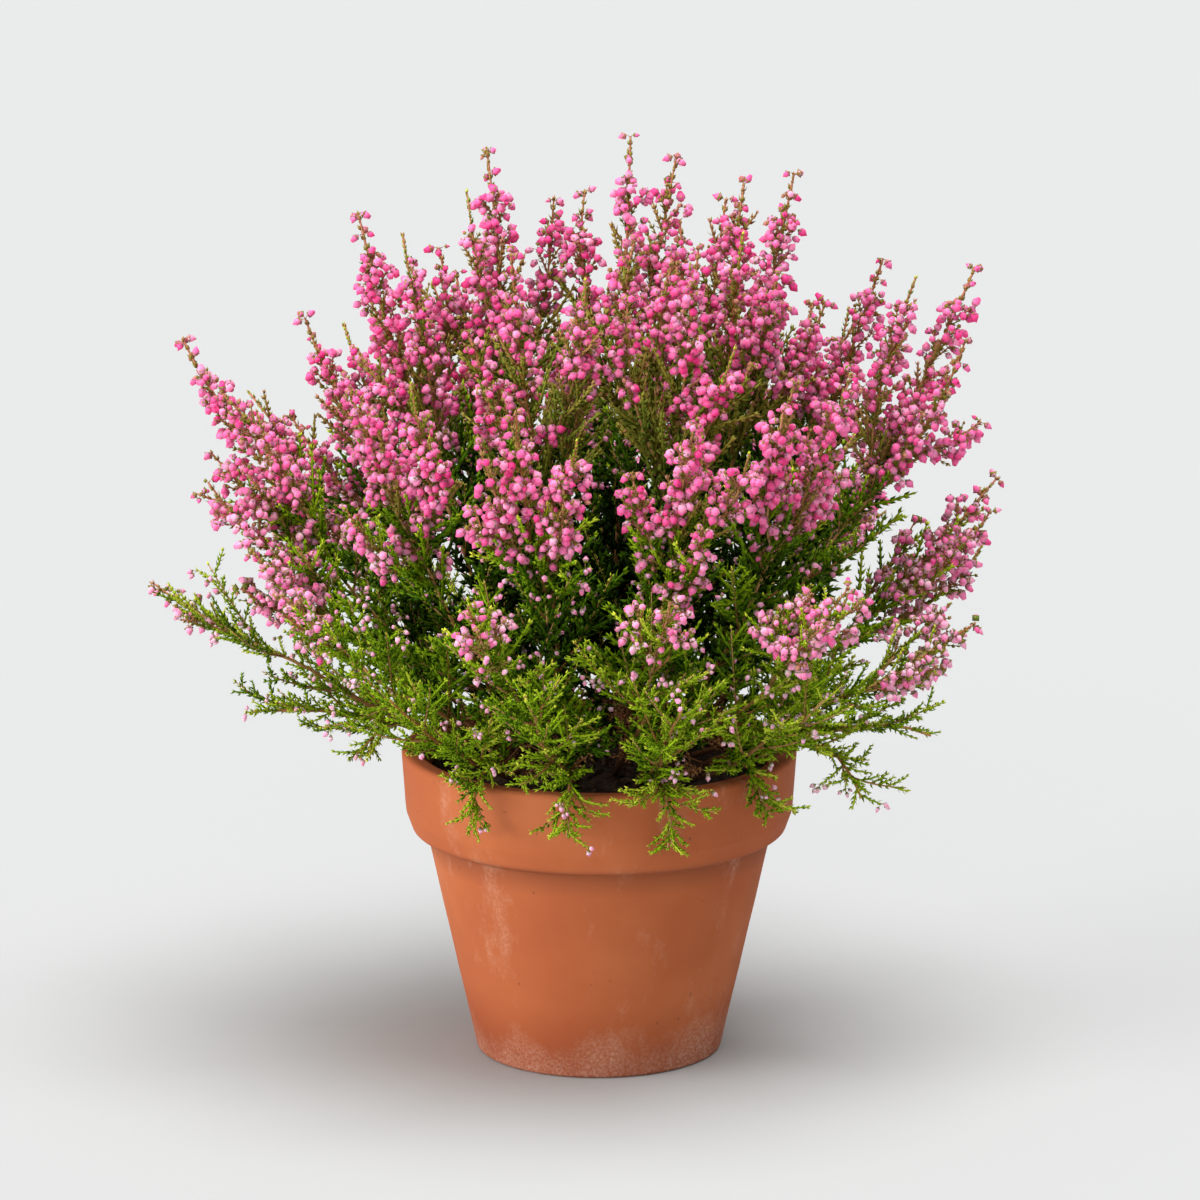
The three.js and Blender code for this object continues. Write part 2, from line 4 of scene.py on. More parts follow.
import bpy
import numpy as np
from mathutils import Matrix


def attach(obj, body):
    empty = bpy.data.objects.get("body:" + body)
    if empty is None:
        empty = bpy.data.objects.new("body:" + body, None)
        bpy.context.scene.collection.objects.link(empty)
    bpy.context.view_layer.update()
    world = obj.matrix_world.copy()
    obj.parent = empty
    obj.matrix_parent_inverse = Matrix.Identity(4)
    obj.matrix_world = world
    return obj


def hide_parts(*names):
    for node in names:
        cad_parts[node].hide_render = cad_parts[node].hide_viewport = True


# A cape heath in a terracotta pot: thousands of nodding urn-shaped florets on wiry stems, over a
# dense mound of fine needle leaves. Sizes are in millimetres until a mesh is made, and angles in
# radians unless a comment says degrees.
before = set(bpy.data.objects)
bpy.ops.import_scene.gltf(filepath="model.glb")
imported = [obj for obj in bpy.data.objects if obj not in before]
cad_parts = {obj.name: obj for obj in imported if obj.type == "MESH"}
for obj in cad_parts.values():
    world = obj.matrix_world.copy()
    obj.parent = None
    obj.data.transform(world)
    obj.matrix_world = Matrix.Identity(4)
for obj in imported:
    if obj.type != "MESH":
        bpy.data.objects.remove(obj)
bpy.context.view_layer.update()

MM = 0.001
TURN = 2 * math.pi
GOLDEN_ANGLE = 2.399963
UP = np.array([0.0, 0.0, 1.0])
BRANCH_SEED = 1000
SPRAY_SEED = 2000
BLOOM_SEED = 4000
CRUMB_SEED = 77

# Pot: the radii and heights of its outline, and how its corners are rounded
RIM_RADIUS = 70
POT_HEIGHT = 110
FOOT_RADIUS = 43.4
CREASE_RADIUS = 60.8
CREASE_HEIGHT = 79
COLLAR_FOOT_RADIUS = 68.5
COLLAR_FOOT_HEIGHT = 88
COLLAR_TURN_RADIUS = 66
COLLAR_TURN_HEIGHT = 81
MOUTH_RADIUS = 63.2
FLOOR_THICKNESS = 8
FLOOR_RADIUS = 38.5
FOOT_ROUNDING = 2.2
CREASE_ROUNDING = 1.6
COLLAR_TURN_ROUNDING = 3
COLLAR_FOOT_ROUNDING = 12
LIP_ROUNDING = 2.2
FLOOR_ROUNDING = 4
POT_SIDES = 128
POT_STEP = 6
DRAIN_RADIUS = 4
DRAIN_CIRCLE = 15
DRAIN_COUNT = 3
# The wheel left the wall a hair out of round, with low ripples: size of each wave, how many go
# round the pot, climb with height, and start
OUT_OF_ROUND = [(0.22, 2, 0.02, 0), (0.1, 3, 0, 1.3)]
RIPPLES = [(0.05, 0, 2.1, 0), (0.04, 0, 0.83, 0.4)]

# Soil
SOIL_EDGE_HEIGHT = 100.5
SOIL_CROWN_HEIGHT = 103
SOIL_CROWN_RADIUS = 34
SOIL_SIDES = 72
SOIL_STEP = 2.4
# Gaps to the pot's floor, the foot of its wall, and its mouth, under and at the soil's edge
SOIL_FLOOR_GAP = 0.4
SOIL_FOOT_GAP = 3
SOIL_WALL_GAP = 1.9
SOIL_EDGE_GAP = 2.1
# Lumps on the surface: height, width and seed
SOIL_LUMPS = [(0.5, 9, 7), (0.4, 3.1, 8)]
CALM_MIDDLE = 6
CRUMBS = 440
CRUMB_SIZES = (0.9, 2.6)

# Shoot tips all round the plant: x, y and z of the tip and the length of its flowering top.
SHOOTS = [
    [11, 0, 329, 112], [-39, 12, 321, 108], [68, 0, 316, 108], [-84, 0, 302, 108],
    [45, 45, 298, 100], [100, 20, 282, 104], [131, -8, 284, 104], [-104, 32, 258, 98],
    [-145, -8, 258, 102], [-136, -28, 212, 84], [140, 8, 205, 84], [-157, 4, 168, 40],
    [-30, -56, 298, 108], [34, -56, 300, 108], [-86, -78, 260, 98], [-28, -112, 254, 84],
    [32, -114, 252, 84], [86, -80, 262, 98], [-108, -88, 186, 46], [-44, -124, 190, 44],
    [24, -130, 194, 48], [84, -112, 194, 62], [130, -48, 166, 58], [-68, 78, 270, 100],
    [-4, 98, 268, 100], [62, 92, 264, 100], [-120, 78, 204, 80], [-50, 132, 202, 80],
    [30, 136, 200, 80], [104, 98, 204, 80],
]

# Which shoots fork from one branch base.
BRANCHES = [
    [0], [1], [2], [3], [4], [5], [10], [11], [12], [13], [6, 22], [8, 9], [7, 26], [14, 18],
    [15, 19], [16, 20], [17, 21], [23, 27], [24, 28], [25, 29],
]

# Low leafy sprays, two to a root, one standing out and one hanging over the rim: heading in
# degrees, and reach and height of each tip.
SPRAYS = [
    [(232, 116, 150), (236, 80, 99)], [(258, 120, 158), (262, 79, 98)],
    [(284, 118, 154), (288, 82, 95)], [(311, 118, 150), (317, 80, 99)],
    [(352, 118, 118), (340, 98, 100)], [(60, 118, 140), (48, 84, 100)],
    [(118, 118, 140), (104, 82, 98)], [(182, 122, 124), (160, 88, 100)],
]

# Stems start just over the soil, at a share of their tips' distance from the middle.
BASE_SPREAD = 0.2
SPRAY_ROOT_RADIUS = 44
ROOT_LIFT = 3
ROOT_DEPTH = 14
# How far out and up the two inner points of a stem's curve stand, and the height below which a
# spray arches over the rim
SHOOT_RISE = (0.36, 0.26, 0.74, 0.62)
OVER_RISE = (0.34, 18, 0.84, 19)
LOW_SPRAY = 145
ROUTE_POINTS = 161
# A stem's slow bends: how wide they are, and how many long and short ones it has
STEM_SWAY = 1.1
LOW_SWAY = 0.5
LONG_BENDS = 1.6
SHORT_BENDS = 3.7
# A stem's direction is taken over this length before and after a place.
SIGHT = 0.6
# Shoots keep this much room to the pot and the soil.
POT_ROOM = 1.2


def unit(vectors):
    """Vectors brought to length one."""
    return vectors / np.linalg.norm(vectors, axis=-1, keepdims=True)


def axes_for(directions, spins):
    """Three axes for each direction: the last runs along it, the others are turned round it."""
    ahead = unit(np.asarray(directions, float))
    is_upright = np.abs(ahead[:, 2:3]) > 0.9
    helper = np.where(is_upright, [[1.0, 0.0, 0.0]], [[0.0, 0.0, 1.0]])
    side = unit(np.cross(helper, ahead))
    across = np.cross(ahead, side)
    c = np.cos(spins)[:, None]
    s = np.sin(spins)[:, None]
    return np.stack([side * c + across * s, across * c - side * s, ahead], axis=-1)


class Route:
    """The line of a stem. Places on it go by distance from its foot."""

    def __init__(self, points):
        self.points = np.asarray(points, float)
        steps = np.linalg.norm(np.diff(self.points, axis=0), axis=1)
        self.distances = np.concatenate([[0], np.cumsum(steps)])
        self.length = self.distances[-1]
        self.tip = self.points[-1]

    def at(self, distance):
        """The point at a distance."""
        columns = [np.interp(distance, self.distances, column) for column in self.points.T]
        return np.stack(columns, -1)

    def along(self, distance):
        """The stem's direction at a distance."""
        distance = np.asarray(distance, float)
        after = self.at(np.minimum(distance + SIGHT, self.length))
        before = self.at(np.maximum(distance - SIGHT, 0))
        return unit(after - before)


def bezier(start, inner, outer, end, count=ROUTE_POINTS):
    """The points of a smooth curve that two inner points draw towards them."""
    t = np.linspace(0, 1, count)[:, None]
    back = 1 - t
    return back ** 3 * start + 3 * back ** 2 * t * inner + 3 * back * t ** 2 * outer + t ** 3 * end


def wavering(points, draw, sway):
    """A line with the slow bends of a stem that grew, still at its two ends."""
    t = np.linspace(0, 1, len(points))[:, None]
    phases = draw.uniform(0, TURN, (2, 3))
    bends = (np.sin(t * TURN * LONG_BENDS + phases[0])
             + 0.5 * np.sin(t * TURN * SHORT_BENDS + phases[1]))
    return points + bends * sway * np.sin(t * math.pi)


def stem_route(start, end, draw, is_low=False):
    """The line of a stem: it leans out and rises to its tip, or arches low over the rim."""
    first_out, first_up, second_out, second_up = OVER_RISE if is_low else SHOOT_RISE
    out = (end - start) * [1, 1, 0]
    rise = UP if is_low else UP * (end - start)
    inner = start + out * first_out + rise * first_up
    outer = start + out * second_out + rise * second_up
    sway = LOW_SWAY if is_low else STEM_SWAY
    return Route(wavering(bezier(start, inner, outer, end), draw, sway))


def soil_top(radius):
    """The height of the soil's surface at a radius."""
    slope = (SOIL_CROWN_HEIGHT - SOIL_EDGE_HEIGHT) / (MOUTH_RADIUS - SOIL_CROWN_RADIUS)
    return SOIL_CROWN_HEIGHT - slope * np.maximum(0, radius - SOIL_CROWN_RADIUS)


def crown_point(x, y):
    """Where a stem starts, just over the soil."""
    return np.array([x, y, soil_top(math.hypot(x, y)) + ROOT_LIFT])


def polar(heading, radius, height):
    """A point from its heading in degrees, radius and height."""
    angle = math.radians(heading)
    return np.array([math.cos(angle) * radius, math.sin(angle) * radius, height])


def clear_of_pot(points):
    """Whether every point stands clear of the pot's wall and the soil."""
    reach, height = np.hypot(points[:, 0], points[:, 1]), points[:, 2]
    in_wall = (reach > MOUTH_RADIUS - POT_ROOM) & (reach < RIM_RADIUS + POT_ROOM)
    hits_wall = in_wall & (height < POT_HEIGHT + POT_ROOM)
    hits_soil = (reach <= MOUTH_RADIUS) & (height < soil_top(reach) + POT_ROOM)
    return not np.any(hits_wall | hits_soil)


# Forms that repeat. Each stands on the origin, runs along +Z and is about one unit long.
def blade_form(width, thickness, bow, widest=0.42):
    """A narrow leaf with one ridge down its inside, its tip bent by bow."""
    side = width / 2
    points = [(0, 0, 0), (-thickness, side, widest), (-thickness, -side, widest), (bow, 0, 1)]
    faces = [(0, 1, 3), (0, 3, 2), (0, 2, 1), (1, 2, 3)]
    return np.array(points, float), np.array(faces)


def ring(radius, height, sides, back=0.0):
    """Points round the axis, turned back by a share of a side."""
    angles = [(k - back) / sides * TURN for k in range(sides)]
    return [(math.cos(angle) * radius, math.sin(angle) * radius, height) for angle in angles]


def ring_faces(rows, sides):
    """Triangles over rows of rings between a first and a last point."""
    k = np.arange(sides)
    next_k = (k + 1) % sides
    faces = [np.stack([np.zeros(sides, int), 1 + next_k, 1 + k], -1)]
    for row in range(rows - 1):
        a = 1 + row * sides + k
        b = 1 + row * sides + next_k
        faces += [np.stack([a, b, b + sides], -1), np.stack([a, b + sides, a + sides], -1)]
    last = 1 + (rows - 1) * sides
    faces.append(np.stack([last + k, last + next_k, np.full(sides, last + sides)], -1))
    return np.concatenate(faces)


def stalk_form(width):
    """A three-sided stalk that narrows to a point."""
    faces = [(0, 2, 1), (0, 1, 3), (1, 2, 3), (2, 0, 3)]
    return np.array(ring(width / 2, 0, 3) + [(0, 0, 1)], float), np.array(faces)


def turned_form(rings, sides, foot, top, twist=0.0):
    """A round form from rings of radius and height, closed by a point at its foot and its top."""
    points = [(0, 0, foot)]
    for row, (radius, height) in enumerate(rings):
        points += ring(radius, height, sides, twist * row)
    return np.array(points + [(0, 0, top)], float), ring_faces(len(rings), sides)


NEEDLE = blade_form(width=0.36, thickness=0.1, bow=-0.08)
BRACT = blade_form(width=0.44, thickness=0.12, bow=-0.1)
STALK = stalk_form(width=0.2)
# A shallow cup of four pointed sepals
SEPALS = turned_form([(0.42, 0.32)], sides=4, foot=-0.05, top=0.32 - 0.18)
# An urn: a narrow foot, a full belly and a small mouth, with the throat sunk in it
URN = turned_form([(0.28, 0.06), (0.47, 0.44), (0.24, 0.88)], 5, foot=0.06, top=0.76, twist=0.5)
# The throat takes the darkest petal tone, painted shade in the sunk mouth.
THROAT_SHADE = 1.0
CLOSED_URN = turned_form([(0.38, 0.16), (0.46, 0.54)], 5, foot=0.16, top=0.96, twist=0.5)
BUD = turned_form([(0.36, 0.22), (0.42, 0.6)], 4, foot=0.22, top=1, twist=0.5)
CRUMB = turned_form([(0.4, 0.15), (0.5, 0.5), (0.33, 0.85)], 5, foot=0.15, top=1)


class Growth:
    """Gathers everything that grows on one piece, as triangles with their finish and shades."""

    def __init__(self):
        self.parts = []
        self.count = 0

    def add(self, points, faces, finish, shades, tints):
        """Adds a mesh with one finish, and a shade and a tint for each point."""
        finishes = np.full(len(faces), finish)
        self.parts.append((points, faces + self.count, finishes, shades, tints))
        self.count += len(points)

    def tube(self, points, radii, sides, finish, shades, tint):
        """A closed stem through the points."""
        points = np.asarray(points, float)
        rows = len(points)
        axes = axes_for(np.gradient(points, axis=0), np.zeros(rows))
        for row in range(1, rows):
            ahead = axes[row, :, 2]
            side = axes[row - 1, :, 0]
            axes[row, :, 0] = unit(side - ahead * (side @ ahead))
            axes[row, :, 1] = np.cross(ahead, axes[row, :, 0])
        angles = np.arange(sides) / sides * TURN
        circle = np.stack([np.cos(angles), np.sin(angles)], -1)
        around = np.einsum("sk,rik->rsi", circle, axes[:, :, :2])
        rings = points[:, None] + around * np.asarray(radii)[:, None, None]
        tip = points[-1:] + axes[-1, :, 2] * radii[-1]
        vertices = np.concatenate([points[:1], rings.reshape(-1, 3), tip])
        shades = np.broadcast_to(np.asarray(shades, float), (rows,))
        spread = np.concatenate([shades[:1], np.repeat(shades, sides), shades[-1:]])
        self.add(vertices, ring_faces(rows, sides), finish, spread, np.full(len(vertices), tint))

    def scatter(self, form, finish, places, directions, spins, sizes, tints, girths=None):
        """Sets one form at every place. Its shade runs from 0 at its foot to 1 at its tip."""
        points, faces = form
        count = len(places)
        if count == 0:
            return
        axes = axes_for(directions, spins)
        girths = sizes if girths is None else girths
        shaped = points[None] * np.stack([girths, girths, sizes], -1)[:, None]
        vertices = np.einsum("nij,nvj->nvi", axes, shaped) + places[:, None]
        offsets = (np.arange(count) * len(points))[:, None, None]
        along = np.clip(points[:, 2], 0, 1)
        if form is URN:
            along[-1] = THROAT_SHADE
        self.add(vertices.reshape(-1, 3), (faces[None] + offsets).reshape(-1, 3), finish,
                 np.tile(along, count), np.repeat(tints, len(points)))

    def build(self, name, materials):
        return mesh_piece(name, materials, *(np.concatenate(part) for part in zip(*self.parts)))


def add_to_scene(name, data):
    item = bpy.data.objects.new(name, data)
    bpy.context.scene.collection.objects.link(item)
    return item


def mesh_piece(name, materials, points, faces, finishes=None, shades=None, tints=None):
    """A mesh object in metres from points in millimetres."""
    mesh = bpy.data.meshes.new(name)
    mesh.vertices.add(len(points))
    mesh.vertices.foreach_set("co", (points * MM).astype(np.float32).ravel())
    mesh.loops.add(faces.size)
    mesh.loops.foreach_set("vertex_index", faces.astype(np.int32).ravel())
    mesh.polygons.add(len(faces))
    corners = faces.shape[1]
    mesh.polygons.foreach_set("loop_start", np.arange(0, faces.size, corners, dtype=np.int32))
    if finishes is not None:
        mesh.polygons.foreach_set("material_index", finishes.astype(np.int32))
    mesh.polygons.foreach_set("use_smooth", np.ones(len(faces), bool))
    for key, values in (("shade", shades), ("tint", tints)):
        if values is not None:
            layer = mesh.attributes.new(key, "FLOAT", "POINT")
            layer.data.foreach_set("value", values.astype(np.float32))
    mesh.update(calc_edges=True)
    for material in materials:
        mesh.materials.append(material)
    return add_to_scene(name, mesh)


def stand_for(piece, node):
    """The piece rides on the one body and hides its node."""
    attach(piece, "root")
    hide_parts(node)


# Materials
def colour(code):
    """An sRGB hex colour as the linear one that a shader takes."""
    channels = [int(code[i:i + 2], 16) / 255 for i in (1, 3, 5)]
    return (*[c / 12.92 if c <= 0.04045 else ((c + 0.055) / 1.055) ** 2.4 for c in channels], 1.0)


def connect(tree, node, sockets):
    """Gives each socket a value, a hex colour, an output, or a node for its first output."""
    for key, value in sockets.items():
        if isinstance(value, bpy.types.Node):
            value = next(output for output in value.outputs if output.enabled)
        if isinstance(value, bpy.types.NodeSocket):
            tree.links.new(value, node.inputs[key])
        else:
            node.inputs[key].default_value = colour(value) if isinstance(value, str) else value


def add(tree, kind, sockets=None, stops=None, **settings):
    """Adds a node: settings are its properties, and stops are a ramp's places and tones."""
    node = tree.nodes.new("ShaderNode" + kind)
    for key, value in settings.items():
        setattr(node, key, value)
    connect(tree, node, sockets or {})
    if stops:
        elements = node.color_ramp.elements
        while len(elements) < len(stops):
            elements.new(0.5)
        for element, (place, tone) in zip(elements, stops):
            element.position = place
            element.color = colour(tone) if isinstance(tone, str) else (tone, tone, tone, 1)
    return node


def new_material(name):
    """An empty material with its shader, ready for its sockets."""
    material = bpy.data.materials.new(name)
    material.use_nodes = True
    tree = material.node_tree
    return material, tree, tree.nodes["Principled BSDF"]


def per_mm(size):
    """The scale of a pattern whose marks are this many millimetres across."""
    return 1 / (size * MM)


def terracotta():
    """Fired unglazed clay, thrown and turned: a dry matt orange with faint rings and lime."""
    material, tree, shader = new_material("terracotta_fired_unglazed")
    place = add(tree, "TexCoord").outputs["Object"]
    # Clouds of lighter and redder clay, as the kiln left them
    clouds = add(tree, "TexNoise", {"Vector": place, "Scale": per_mm(55), "Detail": 4.0})
    clay = add(tree, "ValToRGB", {"Fac": clouds},
               [(0.32, "#ab5833"), (0.52, "#b36037"), (0.7, "#be6b41")])
    # Dark iron specks about 0.7 mm across, the peaks of a coarser pattern
    specks = add(tree, "TexNoise", {"Vector": place, "Scale": per_mm(2.4), "Detail": 1.0})
    speck_mask = add(tree, "ValToRGB", {"Fac": specks}, [(0.75, 0.0), (0.8, 0.8)])
    specked = add(tree, "Mix", {"Factor": speck_mask, "A": clay, "B": "#80452d"},
                  data_type="RGBA")
    # Painted shade: a darker band in the crease under the collar, standing in for the collar's
    # shadow
    height = add(tree, "SeparateXYZ", {"Vector": place}).outputs["Z"]
    near_crease = add(tree, "MapRange", {
        "Value": height, "From Min": 66 * MM, "From Max": 86 * MM})
    crease = add(tree, "ValToRGB", {"Fac": near_crease},
                 [(0.2, 0.0), (0.62, 0.5), (0.74, 0.25), (0.85, 0.0)])
    crease_shaded = add(tree, "Mix", {"Factor": crease, "A": specked, "B": "#6b3a24"}, data_type="RGBA")
    # Chalky salts: strongest just above the foot, and in a few upright smears higher up
    low = add(tree, "MapRange", {
        "Value": height, "From Min": 2 * MM, "From Max": 21 * MM, "To Min": 0.37, "To Max": 0.0})
    smear_place = add(tree, "Mapping", {"Vector": place, "Scale": (1, 1, 0.45)})
    smears = add(tree, "TexNoise", {
        "Vector": smear_place, "Scale": per_mm(26), "Detail": 6.0, "Roughness": 0.7})
    raised = add(tree, "Math", {0: smears, 1: low}, operation="ADD")
    lime = add(tree, "ValToRGB", {"Fac": raised}, [(0.58, 0.0), (0.95, 0.85)])
    dots = add(tree, "TexNoise", {"Vector": place, "Scale": per_mm(1.0), "Detail": 3.0})
    dotted = add(tree, "ValToRGB", {"Fac": dots}, [(0.4, 0.25), (0.62, 1.0)])
    chalk = add(tree, "Math", {0: lime, 1: dotted}, operation="MULTIPLY")
    chalked = add(tree, "Mix", {"Factor": chalk, "A": crease_shaded, "B": "#e0b59c"}, data_type="RGBA")
    # Painted shade: the wall is darkened towards its foot, standing in for the shadow near the
    # floor
    foot_shade = add(tree, "MapRange", {
        "Value": height, "From Min": 4 * MM, "From Max": 28 * MM, "To Min": 0.6, "To Max": 0.0})
    darkened = add(tree, "Mix", {"Factor": foot_shade, "A": chalked, "B": "#b98f80"},
                   data_type="RGBA", blend_type="MULTIPLY")
    # Turning rings about 1.6 mm apart and a sandy grain of 0.8 mm, drawn coarse enough to show
    ring_place = add(tree, "Mapping", {"Vector": place, "Scale": (0.06, 0.06, 1)})
    rings = add(tree, "TexNoise", {"Vector": ring_place, "Scale": per_mm(1.6), "Detail": 2.0})
    grain = add(tree, "TexNoise", {"Vector": place, "Scale": per_mm(0.8), "Detail": 3.0})
    relief = add(tree, "Math", {0: rings, 1: grain}, operation="ADD")
    bump = add(tree, "Bump", {"Height": relief, "Strength": 0.22, "Distance": 0.3 * MM})
    connect(tree, shader, {
        "Base Color": darkened, "Roughness": 0.82, "IOR": 1.5, "Specular IOR Level": 0.25,
        "Normal": bump})
    return material


def potting_soil():
    """Moist peat and bark: nearly black crumbs with brown fibres, and no shine."""
    material, tree, shader = new_material("potting_soil_moist_peat")
    place = add(tree, "TexCoord").outputs["Object"]
    # Grit about 2 mm across, from black peat to brown bark
    grit = add(tree, "TexNoise", {"Vector": place, "Scale": per_mm(2.2), "Detail": 4.0})
    tone = add(tree, "ValToRGB", {"Fac": grit},
               [(0.35, "#1f150e"), (0.55, "#35251a"), (0.72, "#54402c")])
    bump = add(tree, "Bump", {"Height": grit, "Strength": 0.8, "Distance": 0.8 * MM})
    connect(tree, shader, {
        "Base Color": tone, "Roughness": 0.95, "Specular IOR Level": 0.2, "Normal": bump})
    return material


def grown(name, tint_stops, shade_stops, roughness, specular, shade_share, glow=0.0):
    """A living surface, toned by each part's tint and the shade along it. Glow lets light in."""
    material, tree, shader = new_material(name)
    tint = add(tree, "Attribute", attribute_name="tint").outputs["Fac"]
    shade = add(tree, "Attribute", attribute_name="shade").outputs["Fac"]
    by_tint = add(tree, "ValToRGB", {"Fac": tint}, tint_stops)
    by_shade = add(tree, "ValToRGB", {"Fac": shade}, shade_stops)
    mixed = add(tree, "Mix", {"Factor": shade_share, "A": by_tint, "B": by_shade},
                data_type="RGBA", blend_type="MULTIPLY")
    connect(tree, shader, {
        "Base Color": mixed, "Roughness": roughness, "IOR": 1.45, "Specular IOR Level": specular})
    if glow:
        connect(tree, shader, {
            "Subsurface Weight": glow, "Subsurface Radius": (1.0, 0.6, 0.5),
            "Subsurface Scale": 1 * MM})
    return material


BARK, LEAF, PETAL, SEPAL = range(4)
TERRACOTTA = terracotta()
POTTING_SOIL = potting_soil()
# Wiry young wood: dark and fissured at the foot (shade 0), tan higher, red-brown among flowers (1)
HEATH_WOOD = grown(
    "heath_wood_bark", [(0, "#ffffff"), (1, "#d8c0a8")],
    [(0, "#3a271a"), (0.35, "#a67648"), (0.6, "#d4a874"), (0.8, "#c48e60"), (1, "#c8866c")],
    roughness=0.7, specular=0.2, shade_share=1.0)
# Fresh needle leaves: bright green, yellower on young tips
HEATH_LEAF = grown(
    "heath_needle_leaf", [(0, "#142601"), (0.3, "#4a7006"), (0.65, "#98b81a"), (1, "#e2e650")],
    [(0, "#a8b878"), (0.5, "#ffffff"), (1, "#fffff0")],
    roughness=0.5, specular=0.08, shade_share=0.7)
# Waxy petals fused into urns: deep rose when fresh, paling to blush white lower on the plant
# Painted shade: along each urn the rose deepens towards its nodding mouth, and the sunk throat is
# painted dark
HEATH_PETAL = grown(
    "heath_petal_waxy",
    [(0, "#ee4c98"), (0.3, "#fc86be"), (0.6, "#feb4d4"), (0.82, "#fdd2e2"), (1, "#f6e8e2")],
    [(0, "#ffffff"), (0.4, "#fff4f8"), (0.75, "#ffc8de"), (0.9, "#ffc0d8"), (1, "#903c60")],
    roughness=0.45, specular=0.3, shade_share=0.85, glow=0.45)
# Calyx and the small leaves pressed to flowering stems: olive, browned by the sun
HEATH_BRACT = grown(
    "heath_bract_olive", [(0, "#6c8428"), (0.4, "#949234"), (0.7, "#ae8a50"), (1, "#c98a78")],
    [(0, "#d8d0b0"), (1, "#ffffff")],
    roughness=0.6, specular=0.15, shade_share=0.6)
PLANT = [HEATH_WOOD, HEATH_LEAF, HEATH_PETAL, HEATH_BRACT]

# Leaves stand in whorls: how far they lean out, their length, the whorls' pitch, their finish
# and form
Leaves = namedtuple("Leaves", "lean length pitch finish form")
NEEDLES = Leaves(0.7, 2.5, 1.9, LEAF, NEEDLE)
STEM_NEEDLES = NEEDLES._replace(pitch=2.6)
TIP_NEEDLES = NEEDLES._replace(lean=0.5)
DRY_NEEDLES = Leaves(0.8, 3.4, 3.4, BARK, NEEDLE)
SPIKE_BRACTS = Leaves(0.55, 2.6, 2.9, SEPAL, BRACT)
LATERAL_BRACTS = Leaves(0.6, 2.1, 1.9, SEPAL, BRACT)
SPRIG_BRACTS = Leaves(0.55, 2.3, 2.1, SEPAL, BRACT)
TIP_BRACTS = Leaves(0.5, 3.1, 3.6, SEPAL, BRACT)
WHORL = 3
WHORL_TURN = 1.05
# How much closer, shorter and paler the leaves at a shoot's tip are
TIP_CLOSER = 0.55
TIP_SHORTER = 0.3
TIP_PALER = 0.4
# Leaves deep in the bush are older and larger than those outside, and painted darker as shade in
# the bush's heart.
OLD_LEAF = 1.7
INNER_LEAF_SHADE = 1.1
LEAF_SHADE_FROM = 0.15
# The bush: the middle and the reach of its dome, and how its underside narrows to the pot
DOME_MIDDLE = np.array([0.0, 0.0, 130.0])
DOME_REACH = np.array([150.0, 135.0, 198.0])
NECK_RADIUS = 72
NECK_SPREAD = 0.85
# Flowers are deep rose above this height, and wholly pale so far below it.
ROSE_ABOVE = 225
PALE_OVER = 90
# Twigs, and fronds, which bear twigs from one share of their length to another
TWIG_UPTURN = 0.16
TWIG_RADII = np.array([0.35, 0.45, 0.25])
FROND_UPTURN = 0.22
FROND_BEND = 0.08
FROND_RADII = (0.5, 0.22)
FROND_LEAVES_FROM = 0.35
FROND_TWIGS = (0.16, 0.92)
FROND_TWIG_LENGTH = 12
FROND_TWIG_SHORTER = 5.5
FROND_PITCH = 3.3
# Dry twigs low on each stem
DRY_TWIGS = 3
DRY_ZONE = (5, 26)
DRY_LENGTHS = (14, 26)
DRY_BEND = 0.16
# A stem has a ring of points every few millimetres, and is leafy from a share of its length.
STEM_STEP = 7
STEM_LEAVES_FROM = 0.3
# A side shoot's length as a share of its reach: at a stem's foot, and how much less at the top
SIDE_LENGTH = 1.15
SIDE_SHORTER = 0.45
SIDE_TRIES = 6


def depth_in_bush(place):
    """How deep a place lies in the bush, from 0 at its outside to 1 at its heart."""
    in_dome = 1 - np.linalg.norm((place - DOME_MIDDLE) / DOME_REACH)
    neck = NECK_RADIUS + NECK_SPREAD * max(0, place[2] - SOIL_EDGE_HEIGHT)
    return max(0, min(in_dome, 1 - math.hypot(place[0], place[1]) / neck))


def paleness(height):
    """How far a flower at this height has paled, from 0 high up to 1 low down."""
    return np.clip((ROSE_ABOVE - height) / PALE_OVER, 0, 1)


def level_side(ahead):
    """The level direction square to a stem. A nudge gives an upright stem one too."""
    return unit(np.cross(ahead, UP) + 1e-6)


def outward_from(ahead, angle):
    """The direction square to a stem that faces this way round the compass."""
    compass = np.array([math.cos(angle), math.sin(angle), 0.0])
    return unit(compass - ahead * (compass @ ahead))


def upturned(base, heading, length, upturn, count):
    """The points of a side shoot that turns up a little towards its tip."""
    t = np.linspace(0, 1, count)[:, None]
    return base + heading * length * t + UP * length * upturn * t ** 2


